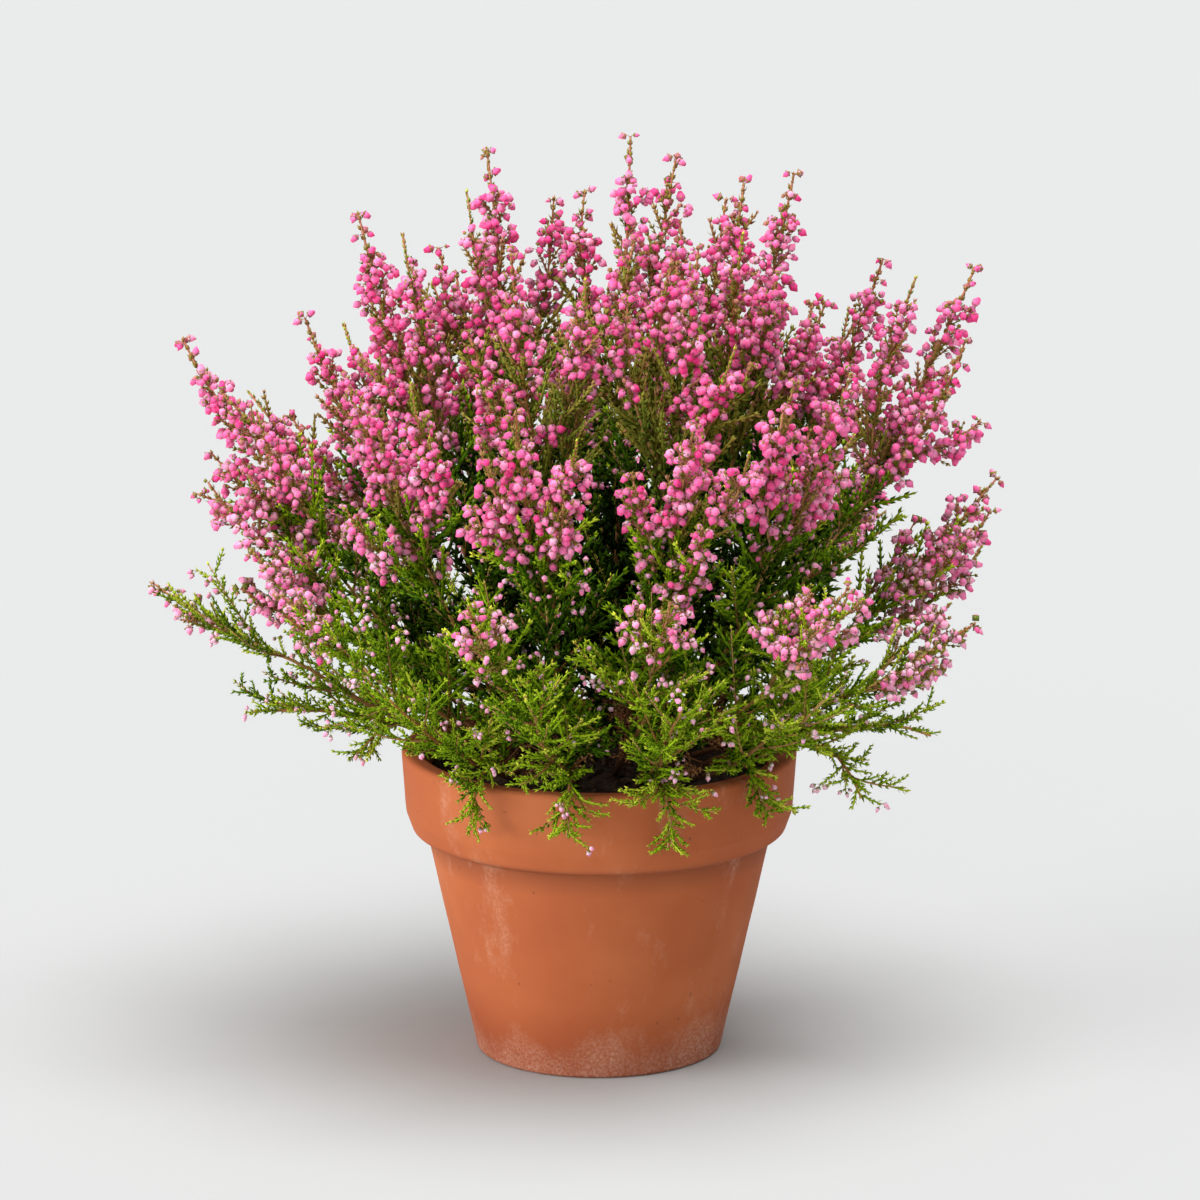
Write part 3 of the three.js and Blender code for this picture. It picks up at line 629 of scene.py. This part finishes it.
def leafy_line(growth, route, start, end, draw, tint, leaves):
    """Whorls of leaves along a line from start to end, closing to a tuft at the tip."""
    rows = np.arange(start, end, leaves.pitch)
    if len(rows) == 0:
        return
    share = (rows - start) / max(end - start, 1)
    where = np.repeat(route.at(rows), WHORL, axis=0)
    ahead = np.repeat(route.along(rows), WHORL, axis=0)
    count = len(ahead)
    turns = (np.tile(np.arange(WHORL) / WHORL * TURN, len(rows))
             + np.repeat(np.arange(len(rows)) * WHORL_TURN, WHORL) + draw.normal(0, 0.18, count))
    leans = (np.repeat(leaves.lean * (1 - TIP_CLOSER * share ** 3), WHORL)
             * draw.uniform(0.75, 1.25, count))
    outward = axes_for(ahead, turns)[:, :, 0]
    directions = ahead * np.cos(leans)[:, None] + outward * np.sin(leans)[:, None]
    sizes = (leaves.length * np.repeat(1 - TIP_SHORTER * share ** 2, WHORL)
             * draw.uniform(0.75, 1.2, count))
    tints = tint + TIP_PALER * np.repeat(share ** 3, WHORL) + draw.normal(0, 0.1, count)
    growth.scatter(leaves.form, leaves.finish, where, directions, draw.uniform(0, TURN, count),
                   sizes, np.clip(tints, 0, 1), np.full(count, leaves.length))


def stalks(growth, places, directions, lengths, sunk, tint, girth):
    """Short stalks, sunk a little into what they bear. Gives the places where that starts."""
    count = len(places)
    growth.scatter(STALK, BARK, places, directions, np.zeros(count), lengths + sunk,
                   np.full(count, tint), np.full(count, girth))
    return places + directions * lengths[:, None]


def bud_cluster(growth, place, ahead, draw):
    """Two or three pale buds nodding from a shoot's end, pinker and larger high on the plant."""
    count = draw.integers(2, 4)
    pale = paleness(place[2])
    directions = unit(ahead * 0.5 + draw.normal(0, 0.6, (count, 3)) - UP * 0.35)
    lengths = draw.uniform(0.8, 1.8, count)
    places = np.tile(place, (count, 1))
    ends = stalks(growth, places, directions, lengths, sunk=0.3, tint=0.3, girth=2.0)
    nod = unit(directions - UP * 0.5)
    sizes = draw.uniform(2.1, 3.1, count) + 0.8 * (1 - pale)
    spins = draw.uniform(0, TURN, count)
    tints = draw.uniform(0.35, 0.6, count) + 0.34 * pale
    growth.scatter(BUD, PETAL, ends, nod, spins, sizes, tints, sizes * 0.76)
    cup_tints = draw.uniform(0.1, 0.45, count)
    growth.scatter(SEPALS, SEPAL, ends, nod, spins, sizes, cup_tints, sizes * 0.8)


def twig(growth, base, heading, length, draw, tint, buds, leaves=NEEDLES):
    """A young side shoot: a green core clothed in needles. True when it had room."""
    points = upturned(base, heading, length, TWIG_UPTURN, 5)
    if not clear_of_pot(points[1:]):
        return False
    route = Route(points)
    depth = depth_in_bush(base)
    size = 1 + OLD_LEAF * depth
    # Painted shade: deeper in the bush the leaves' tint is lowered to darken them
    tint = tint - INNER_LEAF_SHADE * max(0, depth - LEAF_SHADE_FROM)
    growth.tube(points[[0, 2, 4]], TWIG_RADII * size, 3, leaves.finish, 0.5, tint + 0.15)
    grown_leaves = leaves._replace(length=leaves.length * size, pitch=leaves.pitch * size)
    leafy_line(growth, route, 1.0, route.length, draw, tint, grown_leaves)
    if draw.random() < buds:
        bud_cluster(growth, points[-1], heading, draw)
    return True


def dry_twig(growth, base, heading, length, draw):
    """A bent brown twig that has lost its green, low inside the bush."""
    side = level_side(heading) * draw.normal(0, DRY_BEND) * length
    along, aside = np.array([[0.0], [0.5], [1.0]]), np.array([[0.0], [1.0], [0.3]])
    points = base + heading * length * along + side * aside
    if clear_of_pot(points[1:]):
        growth.tube(points, [0.5, 0.4, 0.2], 3, BARK, [0.15, 0.25, 0.3], draw.random())
        leafy_line(growth, Route(points), 0.3 * length, length, draw, 0.5, DRY_NEEDLES)


def frond(growth, base, heading, length, draw, tint, buds):
    """A secondary stem, feathered with leafy side shoots on both sides. True when it had room."""
    t = np.linspace(0, 1, 9)[:, None]
    points = upturned(base, heading, length, FROND_UPTURN, len(t))
    points += level_side(heading) * length * draw.normal(0, FROND_BEND) * t ** 2
    if not clear_of_pot(points[2:]):
        return False
    route = Route(points)
    growth.tube(points[::2], np.linspace(*FROND_RADII, 5), 3, BARK, np.linspace(0.35, 0.6, 5),
                draw.random())
    leafy_line(growth, route, FROND_LEAVES_FROM * route.length, route.length, draw, tint,
               STEM_NEEDLES)
    first, last = FROND_TWIGS
    place, sign = first * route.length, 1
    while place < route.length * last:
        ahead = route.along(place)
        across = level_side(ahead)
        lift = np.cross(across, ahead)
        aim = unit(ahead + across * sign * draw.uniform(0.7, 1.0) + lift * draw.normal(0, 0.4))
        shorter = FROND_TWIG_SHORTER * (place / route.length)
        reach = (FROND_TWIG_LENGTH - shorter) * draw.uniform(0.7, 1.2)
        twig(growth, route.at(place), aim, reach, draw, tint + draw.normal(0, 0.06), buds)
        place += FROND_PITCH * draw.uniform(0.75, 1.25)
        sign = -sign
    return True


def leafy_shoot(growth, route, end, draw, plan):
    """A main stem with fronds and side shoots, shorter near the top."""
    bare = plan["bare"] * end
    rows = max(6, int(end / STEM_STEP))
    radii = np.linspace(plan["foot"], plan["top"], rows)
    growth.tube(route.at(np.linspace(0, end, rows)), radii, 5, BARK, np.linspace(0, 0.5, rows),
                draw.uniform(0, 1))
    leafy_line(growth, route, bare + STEM_LEAVES_FROM * (end - bare), end, draw, plan["tint"],
               STEM_NEEDLES)
    for place in draw.uniform(*DRY_ZONE, DRY_TWIGS):
        heading = unit(outward_from(UP, draw.uniform(0, TURN)) + UP * draw.uniform(0.1, 0.9))
        dry_twig(growth, route.at(place), heading, draw.uniform(*DRY_LENGTHS), draw)
    for kind, pitch, low, high, reach in plan["sides"]:
        place = (low + 0.03) * end
        turn = draw.uniform(0, TURN)
        while place < high * end:
            share = place / end
            ahead = route.along(place)
            length = reach * (SIDE_LENGTH - SIDE_SHORTER * share) * draw.uniform(0.7, 1.15)
            for _ in range(SIDE_TRIES):
                turn += GOLDEN_ANGLE
                heading = unit(ahead + outward_from(ahead, turn) * draw.uniform(0.6, 1.1))
                tint = plan["tint"] + draw.normal(0, 0.1)
                buds = plan["buds"] + plan["top_buds"] * share ** 3
                if kind(growth, route.at(place), heading, length, draw, tint, buds):
                    break
            place += pitch * draw.uniform(0.7, 1.3)


# Florets: size, share in bud, share of buds gone brown, share not yet open, how far each has grown
FLORET_LENGTH = 3.9
FLORET_GIRTH = 3.65
BUD_SHARE = 0.15
BROWN_BUDS = 0.2
CLOSED_SHARE = 0.6
BUD_GROWTH = (0.5, 0.78)
FLORET_GROWTH = (0.82, 1.12)
STALK_LENGTHS = (0.9, 2.0)
# Paler florets are longer and slimmer bells.
LOW_LONGER = 0.15
LOW_SLIMMER = 0.3
# How far a floret nods
NOD = (0.1, 0.9)
# Tints: the first value high on the plant, and what is added low down
LATERAL_TINT = (0.28, 0.4)
TIP_TINT = (0.22, 0.6)
CUP_TINT = (0.6, -0.3)
# Side branches of a spike: their reach, how it falls upwards, how closely they stand, and from
# where and over what share of the spike flowers come in
MAIN_REACH = 11
SIDE_REACH = 8.5
LEAST_REACH = 3.5
REACH_TAPER = 0.8
LATERAL_PITCH = 3.1
LATERAL_UPTURN = 0.12
PAIR_PITCH = 3.2
FLOWERS_FROM = 0.06
FLOWERS_OVER = 0.3
# How thickly tops of these heights flower, and from when a top counts as rich
FULLNESS = ([40, 62, 100], [0.3, 0.55, 0.86])
RICH = 0.4
# A spike narrows again over this share of its height at the foot, to this share of its width.
SPIKE_FOOT = 0.38
SPIKE_FOOT_WIDTH = 0.62
SPIKE_RADII = (0.6, 0.38)
SPIKE_STEP = 8
# Along a spike's slender tip florets stand in fewer, slimmer rings.
SLENDER_SHARE = 0.14
SLENDER_LEAST = 4
TIP_PITCH = 7.5
TIP_SLIMMER = 0.18
# From how deep in the bush flowers thin out, and their share in its heart
SHADE_STARTS = 0.25
SHADE_FULL = 0.45
SHADE_FLOWERS = 0.2
# Leafy twigs between the flowers grow longer in the shade, and are olive above this height.
TWIG_LONGER = 1.15
DEEP_TWIG = 2.2
TWIG_BUDS = 0.25
OLIVE_ABOVE = 205
# A top shorter than this bears two small spikes beside the main one, the others four. Some of
# the small ones end in leaves.
SPARSE_TOP = 56
SPARSE_PLUMES = 2
SIDE_PLUMES = 4
LEAFY_PLUMES = 0.25
# Where they fork off as shares of the top, how far out they stand, and how their tips lean
FORK_FROM = 0.03
FORK_STEP = 0.09
PLUME_OFFSET = 16
OFFSET_STEP = 2.6
FULL_TOP = 110
PLUME_TIP_LEAN = 1.1
# How high they rise, as shares of the top. One that faces out from a tip this far from the
# middle stays lower.
TIP_SHARE = 0.6
TIP_SHARE_STEP = 0.1
OUTERMOST = 70
OUTERMOST_TIP_SHARE = 0.55
# Spikes that close the gap at the front, by top and order: the way they face, in degrees
FRONT_SPIKES = {
    (12, 3): 345, (13, 2): 190, (14, 3): 340, (15, 2): 190, (15, 3): 10, (16, 2): 175,
    (17, 2): 200,
}


def florets(growth, places, ahead, draw, tint, slimness=0.0):
    """Urns that nod on short stalks, each in its cup of sepals."""
    count = len(places)
    directions = unit(unit(ahead) + draw.normal(0, 0.22, (count, 3)) - UP * 0.1)
    lengths = draw.uniform(*STALK_LENGTHS, count)
    ends = stalks(growth, places, directions, lengths, sunk=0.4, tint=0.6, girth=2.4)
    nod = unit(directions * 0.75 - UP * draw.uniform(*NOD, (count, 1))
               + draw.normal(0, 0.15, (count, 3)))
    stage = draw.random(count)
    in_bud = stage < BUD_SHARE
    growths = np.where(in_bud, draw.uniform(*BUD_GROWTH, count),
                       draw.uniform(*FLORET_GROWTH, count))
    lengths = FLORET_LENGTH * growths * (1 + LOW_LONGER * tint)
    girths = FLORET_GIRTH * growths * (1 - LOW_SLIMMER * tint - slimness)
    tints = np.clip(tint + draw.normal(0, 0.16, count), 0, 1)
    spins = draw.uniform(0, TURN, count)
    is_brown = stage < BUD_SHARE * BROWN_BUDS
    is_open = stage >= CLOSED_SHARE
    groups = [(BUD, SEPAL, is_brown, np.ones(count)), (BUD, PETAL, in_bud & ~is_brown, tints),
              (CLOSED_URN, PETAL, ~in_bud & ~is_open, tints), (URN, PETAL, is_open, tints)]
    for form, finish, chosen, tones in groups:
        growth.scatter(form, finish, ends[chosen], nod[chosen], spins[chosen], lengths[chosen],
                       tones[chosen], girths[chosen])
    high_tint, low_change = CUP_TINT
    cup_tints = high_tint + low_change * paleness(ends[:, 2]) + draw.normal(0, 0.25, count)
    growth.scatter(SEPALS, SEPAL, ends, nod, spins, lengths, np.clip(cup_tints, 0, 1))


def ring_of(ahead, count, spread, draw):
    """Directions that stand out round a stem's end."""
    turns = np.arange(count) / count * TURN + draw.normal(0, 0.3, count) + draw.uniform(0, TURN)
    return axes_for(np.tile(ahead, (count, 1)), turns)[:, :, 0] * spread + ahead


def lateral(growth, base, heading, length, draw, tint, is_rich):
    """A short flowering side branch: olive leaves, a nodding cluster, and pairs below it."""
    route = Route(upturned(base, heading, length, LATERAL_UPTURN, 5))
    growth.tube(route.at([0, route.length]), [0.4, 0.3], 3, BARK, [0.9, 1], 0.3)
    leafy_line(growth, route, 0.8, route.length, draw, draw.uniform(0.2, 0.85), LATERAL_BRACTS)
    count = 4 if is_rich else draw.integers(1, 4)
    places = [np.tile(route.tip, (count, 1))]
    aims = [ring_of(heading, count, 1.8, draw)]
    for step in np.arange(route.length - PAIR_PITCH, route.length * 0.35, -PAIR_PITCH):
        if is_rich or draw.random() < 0.3:
            places.append(np.tile(route.at(step), (2, 1)))
            aims.append(ring_of(route.along(step), 2, 2.5, draw))
    florets(growth, np.concatenate(places), np.concatenate(aims), draw, tint)


def sprig(growth, base, heading, length, draw):
    """A thin olive side shoot among the flowers."""
    tip = base + heading * length
    growth.tube([base, tip], [0.3, 0.22], 3, SEPAL, 0.3, draw.uniform(0.1, 0.5))
    leafy_line(growth, Route([base, tip]), 1.0, length, draw, draw.uniform(0.05, 0.65),
               SPRIG_BRACTS)


def plume(growth, route, start, draw, reach, fullness, is_leafy):
    """A flowering spike: a red-brown stem, leafy and flowering side branches, a slender tip."""
    top = route.length - start
    is_rich = fullness > RICH
    rows = max(4, int(top / SPIKE_STEP))
    growth.tube(route.at(np.linspace(start, route.length, rows)),
                np.linspace(*SPIKE_RADII, rows), 4, BARK, np.linspace(0.5, 1, rows),
                draw.random())
    leafy_line(growth, route, start, route.length, draw, 0.3, SPIKE_BRACTS)
    turn = draw.uniform(0, TURN)
    place = start + 2
    slender = SLENDER_SHARE * top + SLENDER_LEAST
    while place < route.length - slender:
        share = (place - start) / top
        ahead = route.along(place)
        turn += GOLDEN_ANGLE
        length = (LEAST_REACH + reach * (1 - share) ** REACH_TAPER) * draw.uniform(0.65, 1.2)
        where = route.at(place)
        depth = depth_in_bush(where)
        lit = np.interp(depth, [SHADE_STARTS, SHADE_FULL], [1, SHADE_FLOWERS])
        risen = np.clip((share - FLOWERS_FROM) / FLOWERS_OVER, 0, 1)
        if draw.random() < fullness * lit * risen:
            heading = unit(ahead + outward_from(ahead, turn) * draw.uniform(0.6, 0.95))
            reached = length * np.interp(share, [0, SPIKE_FOOT], [SPIKE_FOOT_WIDTH, 1])
            tint = LATERAL_TINT[0] + LATERAL_TINT[1] * paleness(where[2])
            lateral(growth, where, heading, reached, draw, tint, is_rich)
            heading = unit(ahead + outward_from(ahead, turn + 2.1) * draw.uniform(0.4, 0.9))
            sprig(growth, where, heading, length * draw.uniform(0.8, 1.2), draw)
        else:
            heading = unit(ahead + outward_from(ahead, turn) * draw.uniform(0.4, 0.85))
            finish = LEAF if where[2] < OLIVE_ABOVE else SEPAL
            twig(growth, where, heading, length * (TWIG_LONGER + DEEP_TWIG * depth), draw,
                 draw.uniform(0.25, 0.7), 0 if is_rich else TWIG_BUDS,
                 NEEDLES._replace(lean=0.6, finish=finish))
        place += LATERAL_PITCH * draw.uniform(0.75, 1.25)
    tip_tint = TIP_TINT[0] + TIP_TINT[1] * paleness(route.tip[2])
    if is_leafy:
        leafy_line(growth, route, place, route.length, draw, 0.45, TIP_NEEDLES)
        return
    leafy_line(growth, route, place, route.length, draw, 0.45, TIP_BRACTS)
    for spot in np.arange(route.length, place - 2, -TIP_PITCH):
        count = draw.integers(2, 5) if is_rich else draw.integers(1, 3)
        aims = ring_of(route.along(spot), count, draw.uniform(1.2, 3), draw)
        florets(growth, np.tile(route.at(spot), (count, 1)), aims, draw, tip_tint, TIP_SLIMMER)


def side_plume_route(member, order, route, start):
    """The line of a spike that forks from a top's stem and rises beside it."""
    top = route.length - start
    foot_at = start + (FORK_FROM + FORK_STEP * order) * top
    ahead = route.along(foot_at)
    turn = member * 1.9 + order * GOLDEN_ANGLE
    if (member, order) in FRONT_SPIKES:
        turn = math.radians(FRONT_SPIKES[member, order])
    outward = outward_from(ahead, turn)
    tip_share = TIP_SHARE + TIP_SHARE_STEP * ((order * 2 + order // 2 + member) % 4)
    if order >= 2 and outward[:2] @ route.tip[:2] > OUTERMOST:
        tip_share = OUTERMOST_TIP_SHARE
    foot, tip = route.at(foot_at), route.at(start + tip_share * top)
    offset = (PLUME_OFFSET + OFFSET_STEP * order) * top / FULL_TOP
    span = np.linalg.norm(tip - foot)
    inner = foot + ahead * span * 0.28 + outward * offset * 0.75
    outer = foot + ahead * span * 0.68 + outward * offset
    return Route(bezier(foot, inner, outer, tip + outward * offset * PLUME_TIP_LEAN, 41))


def root_end(growth, crown, radii):
    """The foot of a stem, down in its hole in the soil."""
    points = [crown - UP * (ROOT_LIFT + ROOT_DEPTH), crown - UP * ROOT_LIFT, crown]
    growth.tube(points, radii, 6, BARK, 0, 0.5)


def plant_piece(growth, node):
    stand_for(growth.build("heath_" + node, PLANT), node)


def flowering_top(member, route, start):
    """A main spike and the smaller ones that rise round it."""
    growth = Growth()
    draw = np.random.default_rng(BLOOM_SEED + member)
    top = route.length - start
    fullness = np.interp(top, *FULLNESS)
    plume(growth, route, start, draw, MAIN_REACH, fullness, False)
    for order in range(SPARSE_PLUMES if top < SPARSE_TOP else SIDE_PLUMES):
        is_leafy = draw.random() < LEAFY_PLUMES
        side_route = side_plume_route(member, order, route, start)
        plume(growth, side_route, 0, draw, SIDE_REACH, fullness, is_leafy)
    plant_piece(growth, f"bloom_{member + 1:02d}")


# Stems: radius at foot and top, bare share, tint of the leaves, chance of buds on a side shoot
# and what is added at the top, and side shoots with pitch, start, stop (as shares) and reach
BRANCH_LEAVES = {
    "foot": 1.25, "top": 0.5, "bare": 0.2, "tint": 0.45, "buds": 0.06, "top_buds": 0.4,
    "sides": [(frond, 10, 0.2, 0.6, 46), (frond, 9, 0.6, 1.0, 42), (twig, 6, 0.35, 1.0, 14)],
}
SPRAY_LEAVES = {
    "foot": 1.1, "top": 0.45, "bare": 0.2, "tint": 0.48, "buds": 0.05, "top_buds": 0.1,
    "sides": [(frond, 7, 0.3, 0.85, 32), (twig, 3.2, 0.3, 1.0, 12)],
}
# The stem that hangs over the rim is younger: paler green and more thickly clothed.
HANGING_LEAVES = {
    "foot": 0.95, "top": 0.4, "bare": 0.25, "tint": 0.53, "buds": 0.08, "top_buds": 0.2,
    "sides": [(frond, 6, 0.35, 0.9, 24), (twig, 2.1, 0.35, 1.0, 13)],
}
BRANCH_ROOT_RADII = [1.2, 1.45, 1.25]
SPRAY_ROOT_RADII = [1.0, 1.2, 1.1]

for index, members in enumerate(BRANCHES):
    mean = np.mean([SHOOTS[m][:2] for m in members], axis=0)
    crown = crown_point(*(mean * BASE_SPREAD))
    growth = Growth()
    for member in members:
        draw = np.random.default_rng(BRANCH_SEED + member)
        *tip, top_length = SHOOTS[member]
        route = stem_route(crown, np.array(tip, float), draw)
        end = route.length - top_length
        leafy_shoot(growth, route, end, draw, BRANCH_LEAVES)
        flowering_top(member, route, end)
    root_end(growth, crown, BRANCH_ROOT_RADII)
    plant_piece(growth, f"branch_{index + 1:02d}")

for index, pair in enumerate(SPRAYS):
    heading = (pair[0][0] + pair[1][0]) / 2
    crown = crown_point(*polar(heading, SPRAY_ROOT_RADIUS, 0)[:2])
    growth = Growth()
    for order, tip in enumerate(pair):
        draw = np.random.default_rng(SPRAY_SEED + index * 2 + order)
        is_low = order == 1 or tip[2] < LOW_SPRAY
        route = stem_route(crown, polar(*tip), draw, is_low)
        leafy_shoot(growth, route, route.length, draw, HANGING_LEAVES if order else SPRAY_LEAVES)
    root_end(growth, crown, SPRAY_ROOT_RADII)
    plant_piece(growth, f"spray_{index + 1}")


# Pot and soil
def rounded(corners, steps=6):
    """An outline whose corners, given as radius, height and rounding, are turned into arcs."""
    outline = []
    for i, (x, z, rounding) in enumerate(corners):
        corner = np.array([x, z], float)
        if rounding == 0:
            outline.append(corner)
            continue
        before = unit(np.array(corners[i - 1][:2], float) - corner)
        after = unit(np.array(corners[i + 1][:2], float) - corner)
        half = math.acos(np.clip(before @ after, -1, 1)) / 2
        reach = rounding / math.tan(half)
        start, stop = corner + before * reach, corner + after * reach
        for k in range(steps + 1):
            t = k / steps
            outline.append((1 - t) ** 2 * start + 2 * t * (1 - t) * corner + t ** 2 * stop)
    return np.array(outline)


def subdivided(outline, step):
    """The outline with its long straight runs cut into steps."""
    points = [outline[0]]
    for a, b in zip(outline[:-1], outline[1:]):
        count = max(1, int(np.linalg.norm(b - a) / step))
        points += [a + (b - a) * k / count for k in range(1, count + 1)]
    return np.array(points)


def lathe(outline, sides):
    """A closed round body from an outline that starts and ends on the axis."""
    return turned_form(outline[1:-1], sides, outline[0][1], outline[-1][1])


def waves(table, angle, height):
    """The sum of low waves over a wall."""
    return sum(size * np.sin(angle * lobes + height * climb + start)
               for size, lobes, climb, start in table)


def drill(pot, place):
    """Cuts a drainage hole through the pot's floor."""
    low, high = -2, FLOOR_THICKNESS + 2
    points, faces = turned_form([(DRAIN_RADIUS, low), (DRAIN_RADIUS, high)], 32, low, high)
    cutter = mesh_piece("drain_cutter", [], points + place, faces)
    cut = pot.modifiers.new("drain", "BOOLEAN")
    cut.operation = "DIFFERENCE"
    cut.solver = "EXACT"
    cut.object = cutter
    with bpy.context.temp_override(object=pot, active_object=pot):
        bpy.ops.object.modifier_apply(modifier="drain")
    bpy.data.objects.remove(cutter)


def make_pot():
    """A turned pot with a thick collar and rounded lips, drained through its floor."""
    outline = rounded([
        (0, 0, 0), (FOOT_RADIUS, 0, FOOT_ROUNDING),
        (CREASE_RADIUS, CREASE_HEIGHT, CREASE_ROUNDING),
        (COLLAR_TURN_RADIUS, COLLAR_TURN_HEIGHT, COLLAR_TURN_ROUNDING),
        (COLLAR_FOOT_RADIUS, COLLAR_FOOT_HEIGHT, COLLAR_FOOT_ROUNDING),
        (RIM_RADIUS, POT_HEIGHT, LIP_ROUNDING), (MOUTH_RADIUS, POT_HEIGHT, LIP_ROUNDING),
        (FLOOR_RADIUS, FLOOR_THICKNESS, FLOOR_ROUNDING), (0, FLOOR_THICKNESS, 0),
    ])
    points, faces = lathe(subdivided(outline, POT_STEP), POT_SIDES)
    angle = np.arctan2(points[:, 1], points[:, 0])
    is_wall = np.hypot(points[:, 0], points[:, 1]) > FLOOR_RADIUS * 0.8
    swell = waves(OUT_OF_ROUND, angle, points[:, 2]) + waves(RIPPLES, angle, points[:, 2])
    swell = np.where(is_wall, swell, 0)
    points[:, 0] += np.cos(angle) * swell
    points[:, 1] += np.sin(angle) * swell
    pot = mesh_piece("pot_terracotta", [TERRACOTTA], points, faces)
    for i in range(DRAIN_COUNT):
        drill(pot, polar(i * 360 / DRAIN_COUNT, DRAIN_CIRCLE, 0))
    stand_for(pot, "pot")


def lump_noise(points, size, seed):
    """Smooth bumps between about -1 and 1 whose hills are roughly size apart."""
    draw = np.random.default_rng(seed)
    total = np.zeros(len(points))
    for _ in range(14):
        direction = unit(draw.normal(0, 1, 3))
        spacing = size * draw.uniform(0.7, 1.4)
        total += np.sin(points @ direction * TURN / spacing + draw.uniform(0, TURN))
    return total / 4


def make_soil():
    """Soil that fills the pot, lumpy on top, with loose crumbs half sunk in it."""
    outline = np.array([
        (0, FLOOR_THICKNESS + SOIL_FLOOR_GAP),
        (FLOOR_RADIUS - SOIL_FOOT_GAP, FLOOR_THICKNESS + SOIL_FLOOR_GAP),
        (MOUTH_RADIUS - SOIL_WALL_GAP, SOIL_EDGE_HEIGHT - 1),
        (MOUTH_RADIUS - SOIL_EDGE_GAP, SOIL_EDGE_HEIGHT),
        (SOIL_CROWN_RADIUS, SOIL_CROWN_HEIGHT), (0, SOIL_CROWN_HEIGHT),
    ], float)
    points, faces = lathe(subdivided(outline, SOIL_STEP), SOIL_SIDES)
    reach = np.hypot(points[:, 0], points[:, 1])
    is_top = points[:, 2] > SOIL_EDGE_HEIGHT - 0.5
    bumps = sum(height * lump_noise(points, width, seed) for height, width, seed in SOIL_LUMPS)
    points[:, 2] += np.where(is_top, bumps * np.minimum(1, reach / CALM_MIDDLE), 0)
    growth = Growth()
    growth.add(points, faces, 0, np.zeros(len(points)), np.zeros(len(points)))
    draw = np.random.default_rng(CRUMB_SEED)
    radii = (MOUTH_RADIUS - 4) * np.sqrt(draw.random(CRUMBS))
    angles = draw.uniform(0, TURN, CRUMBS)
    sizes = draw.uniform(*CRUMB_SIZES, CRUMBS)
    places = [np.cos(angles) * radii, np.sin(angles) * radii, soil_top(radii) - 0.3]
    growth.scatter(CRUMB, 0, np.stack(places, -1), draw.normal(0, 1, (CRUMBS, 3)) + UP, angles,
                   sizes, np.zeros(CRUMBS), sizes * draw.uniform(0.7, 1.3, CRUMBS))
    stand_for(growth.build("potting_soil", [POTTING_SOIL]), "soil")


make_pot()
make_soil()

# Studio: a seamless pale floor, even light from all round, and three wide soft lights: strength,
# and in degrees spread, height over the floor and way round from the camera
FLOOR_TONE = "#b9baba"
FLOOR_REACH = 14000
SKY_LIGHT = 0.42
SOFTBOXES = [
    ("softbox_above", 1.07, 46, 80, 40),
    ("softbox_left", 1.38, 50, 4, -70),
    ("softbox_front", 0.2, 60, 8, -14),
]
# Camera at the photograph's angle: a long lens, 2.6 m away, looking down by 13.6 degrees
LENS = 230
SENSOR_WIDTH = 36
VIEW_END = 100
CAMERA_PLACE = (0.0004, -2.632, 0.8)
CAMERA_TILT = 76.4

paper, paper_tree, paper_shader = new_material("studio_paper_matt")
connect(paper_tree, paper_shader, {
    "Base Color": FLOOR_TONE, "Roughness": 1.0, "Specular IOR Level": 0.0})
corners = np.array([(-1, -1, 0), (1, -1, 0), (1, 1, 0), (-1, 1, 0)], float) * FLOOR_REACH
mesh_piece("studio_floor", [paper], corners, np.array([[0, 1, 2, 3]]))

world = bpy.data.worlds.new("even_studio_light")
bpy.context.scene.world = world
world.use_nodes = True
connect(world.node_tree, world.node_tree.nodes["Background"],
        {"Color": (1, 1, 1, 1), "Strength": SKY_LIGHT})

for name, strength, spread, height, round_camera in SOFTBOXES:
    light = bpy.data.lights.new(name, "SUN")
    light.energy = math.pi * strength
    light.angle = math.radians(spread)
    lamp = add_to_scene(name, light)
    lamp.rotation_euler = (math.radians(90 - height), 0, math.radians(round_camera))

camera = bpy.data.cameras.new("camera")
camera.lens = LENS
camera.sensor_width = SENSOR_WIDTH
camera.clip_end = VIEW_END
camera_object = add_to_scene("camera", camera)
camera_object.location = CAMERA_PLACE
camera_object.rotation_euler = (math.radians(CAMERA_TILT), 0, 0)
bpy.context.scene.camera = camera_object
bpy.context.scene.view_settings.view_transform = "Standard"
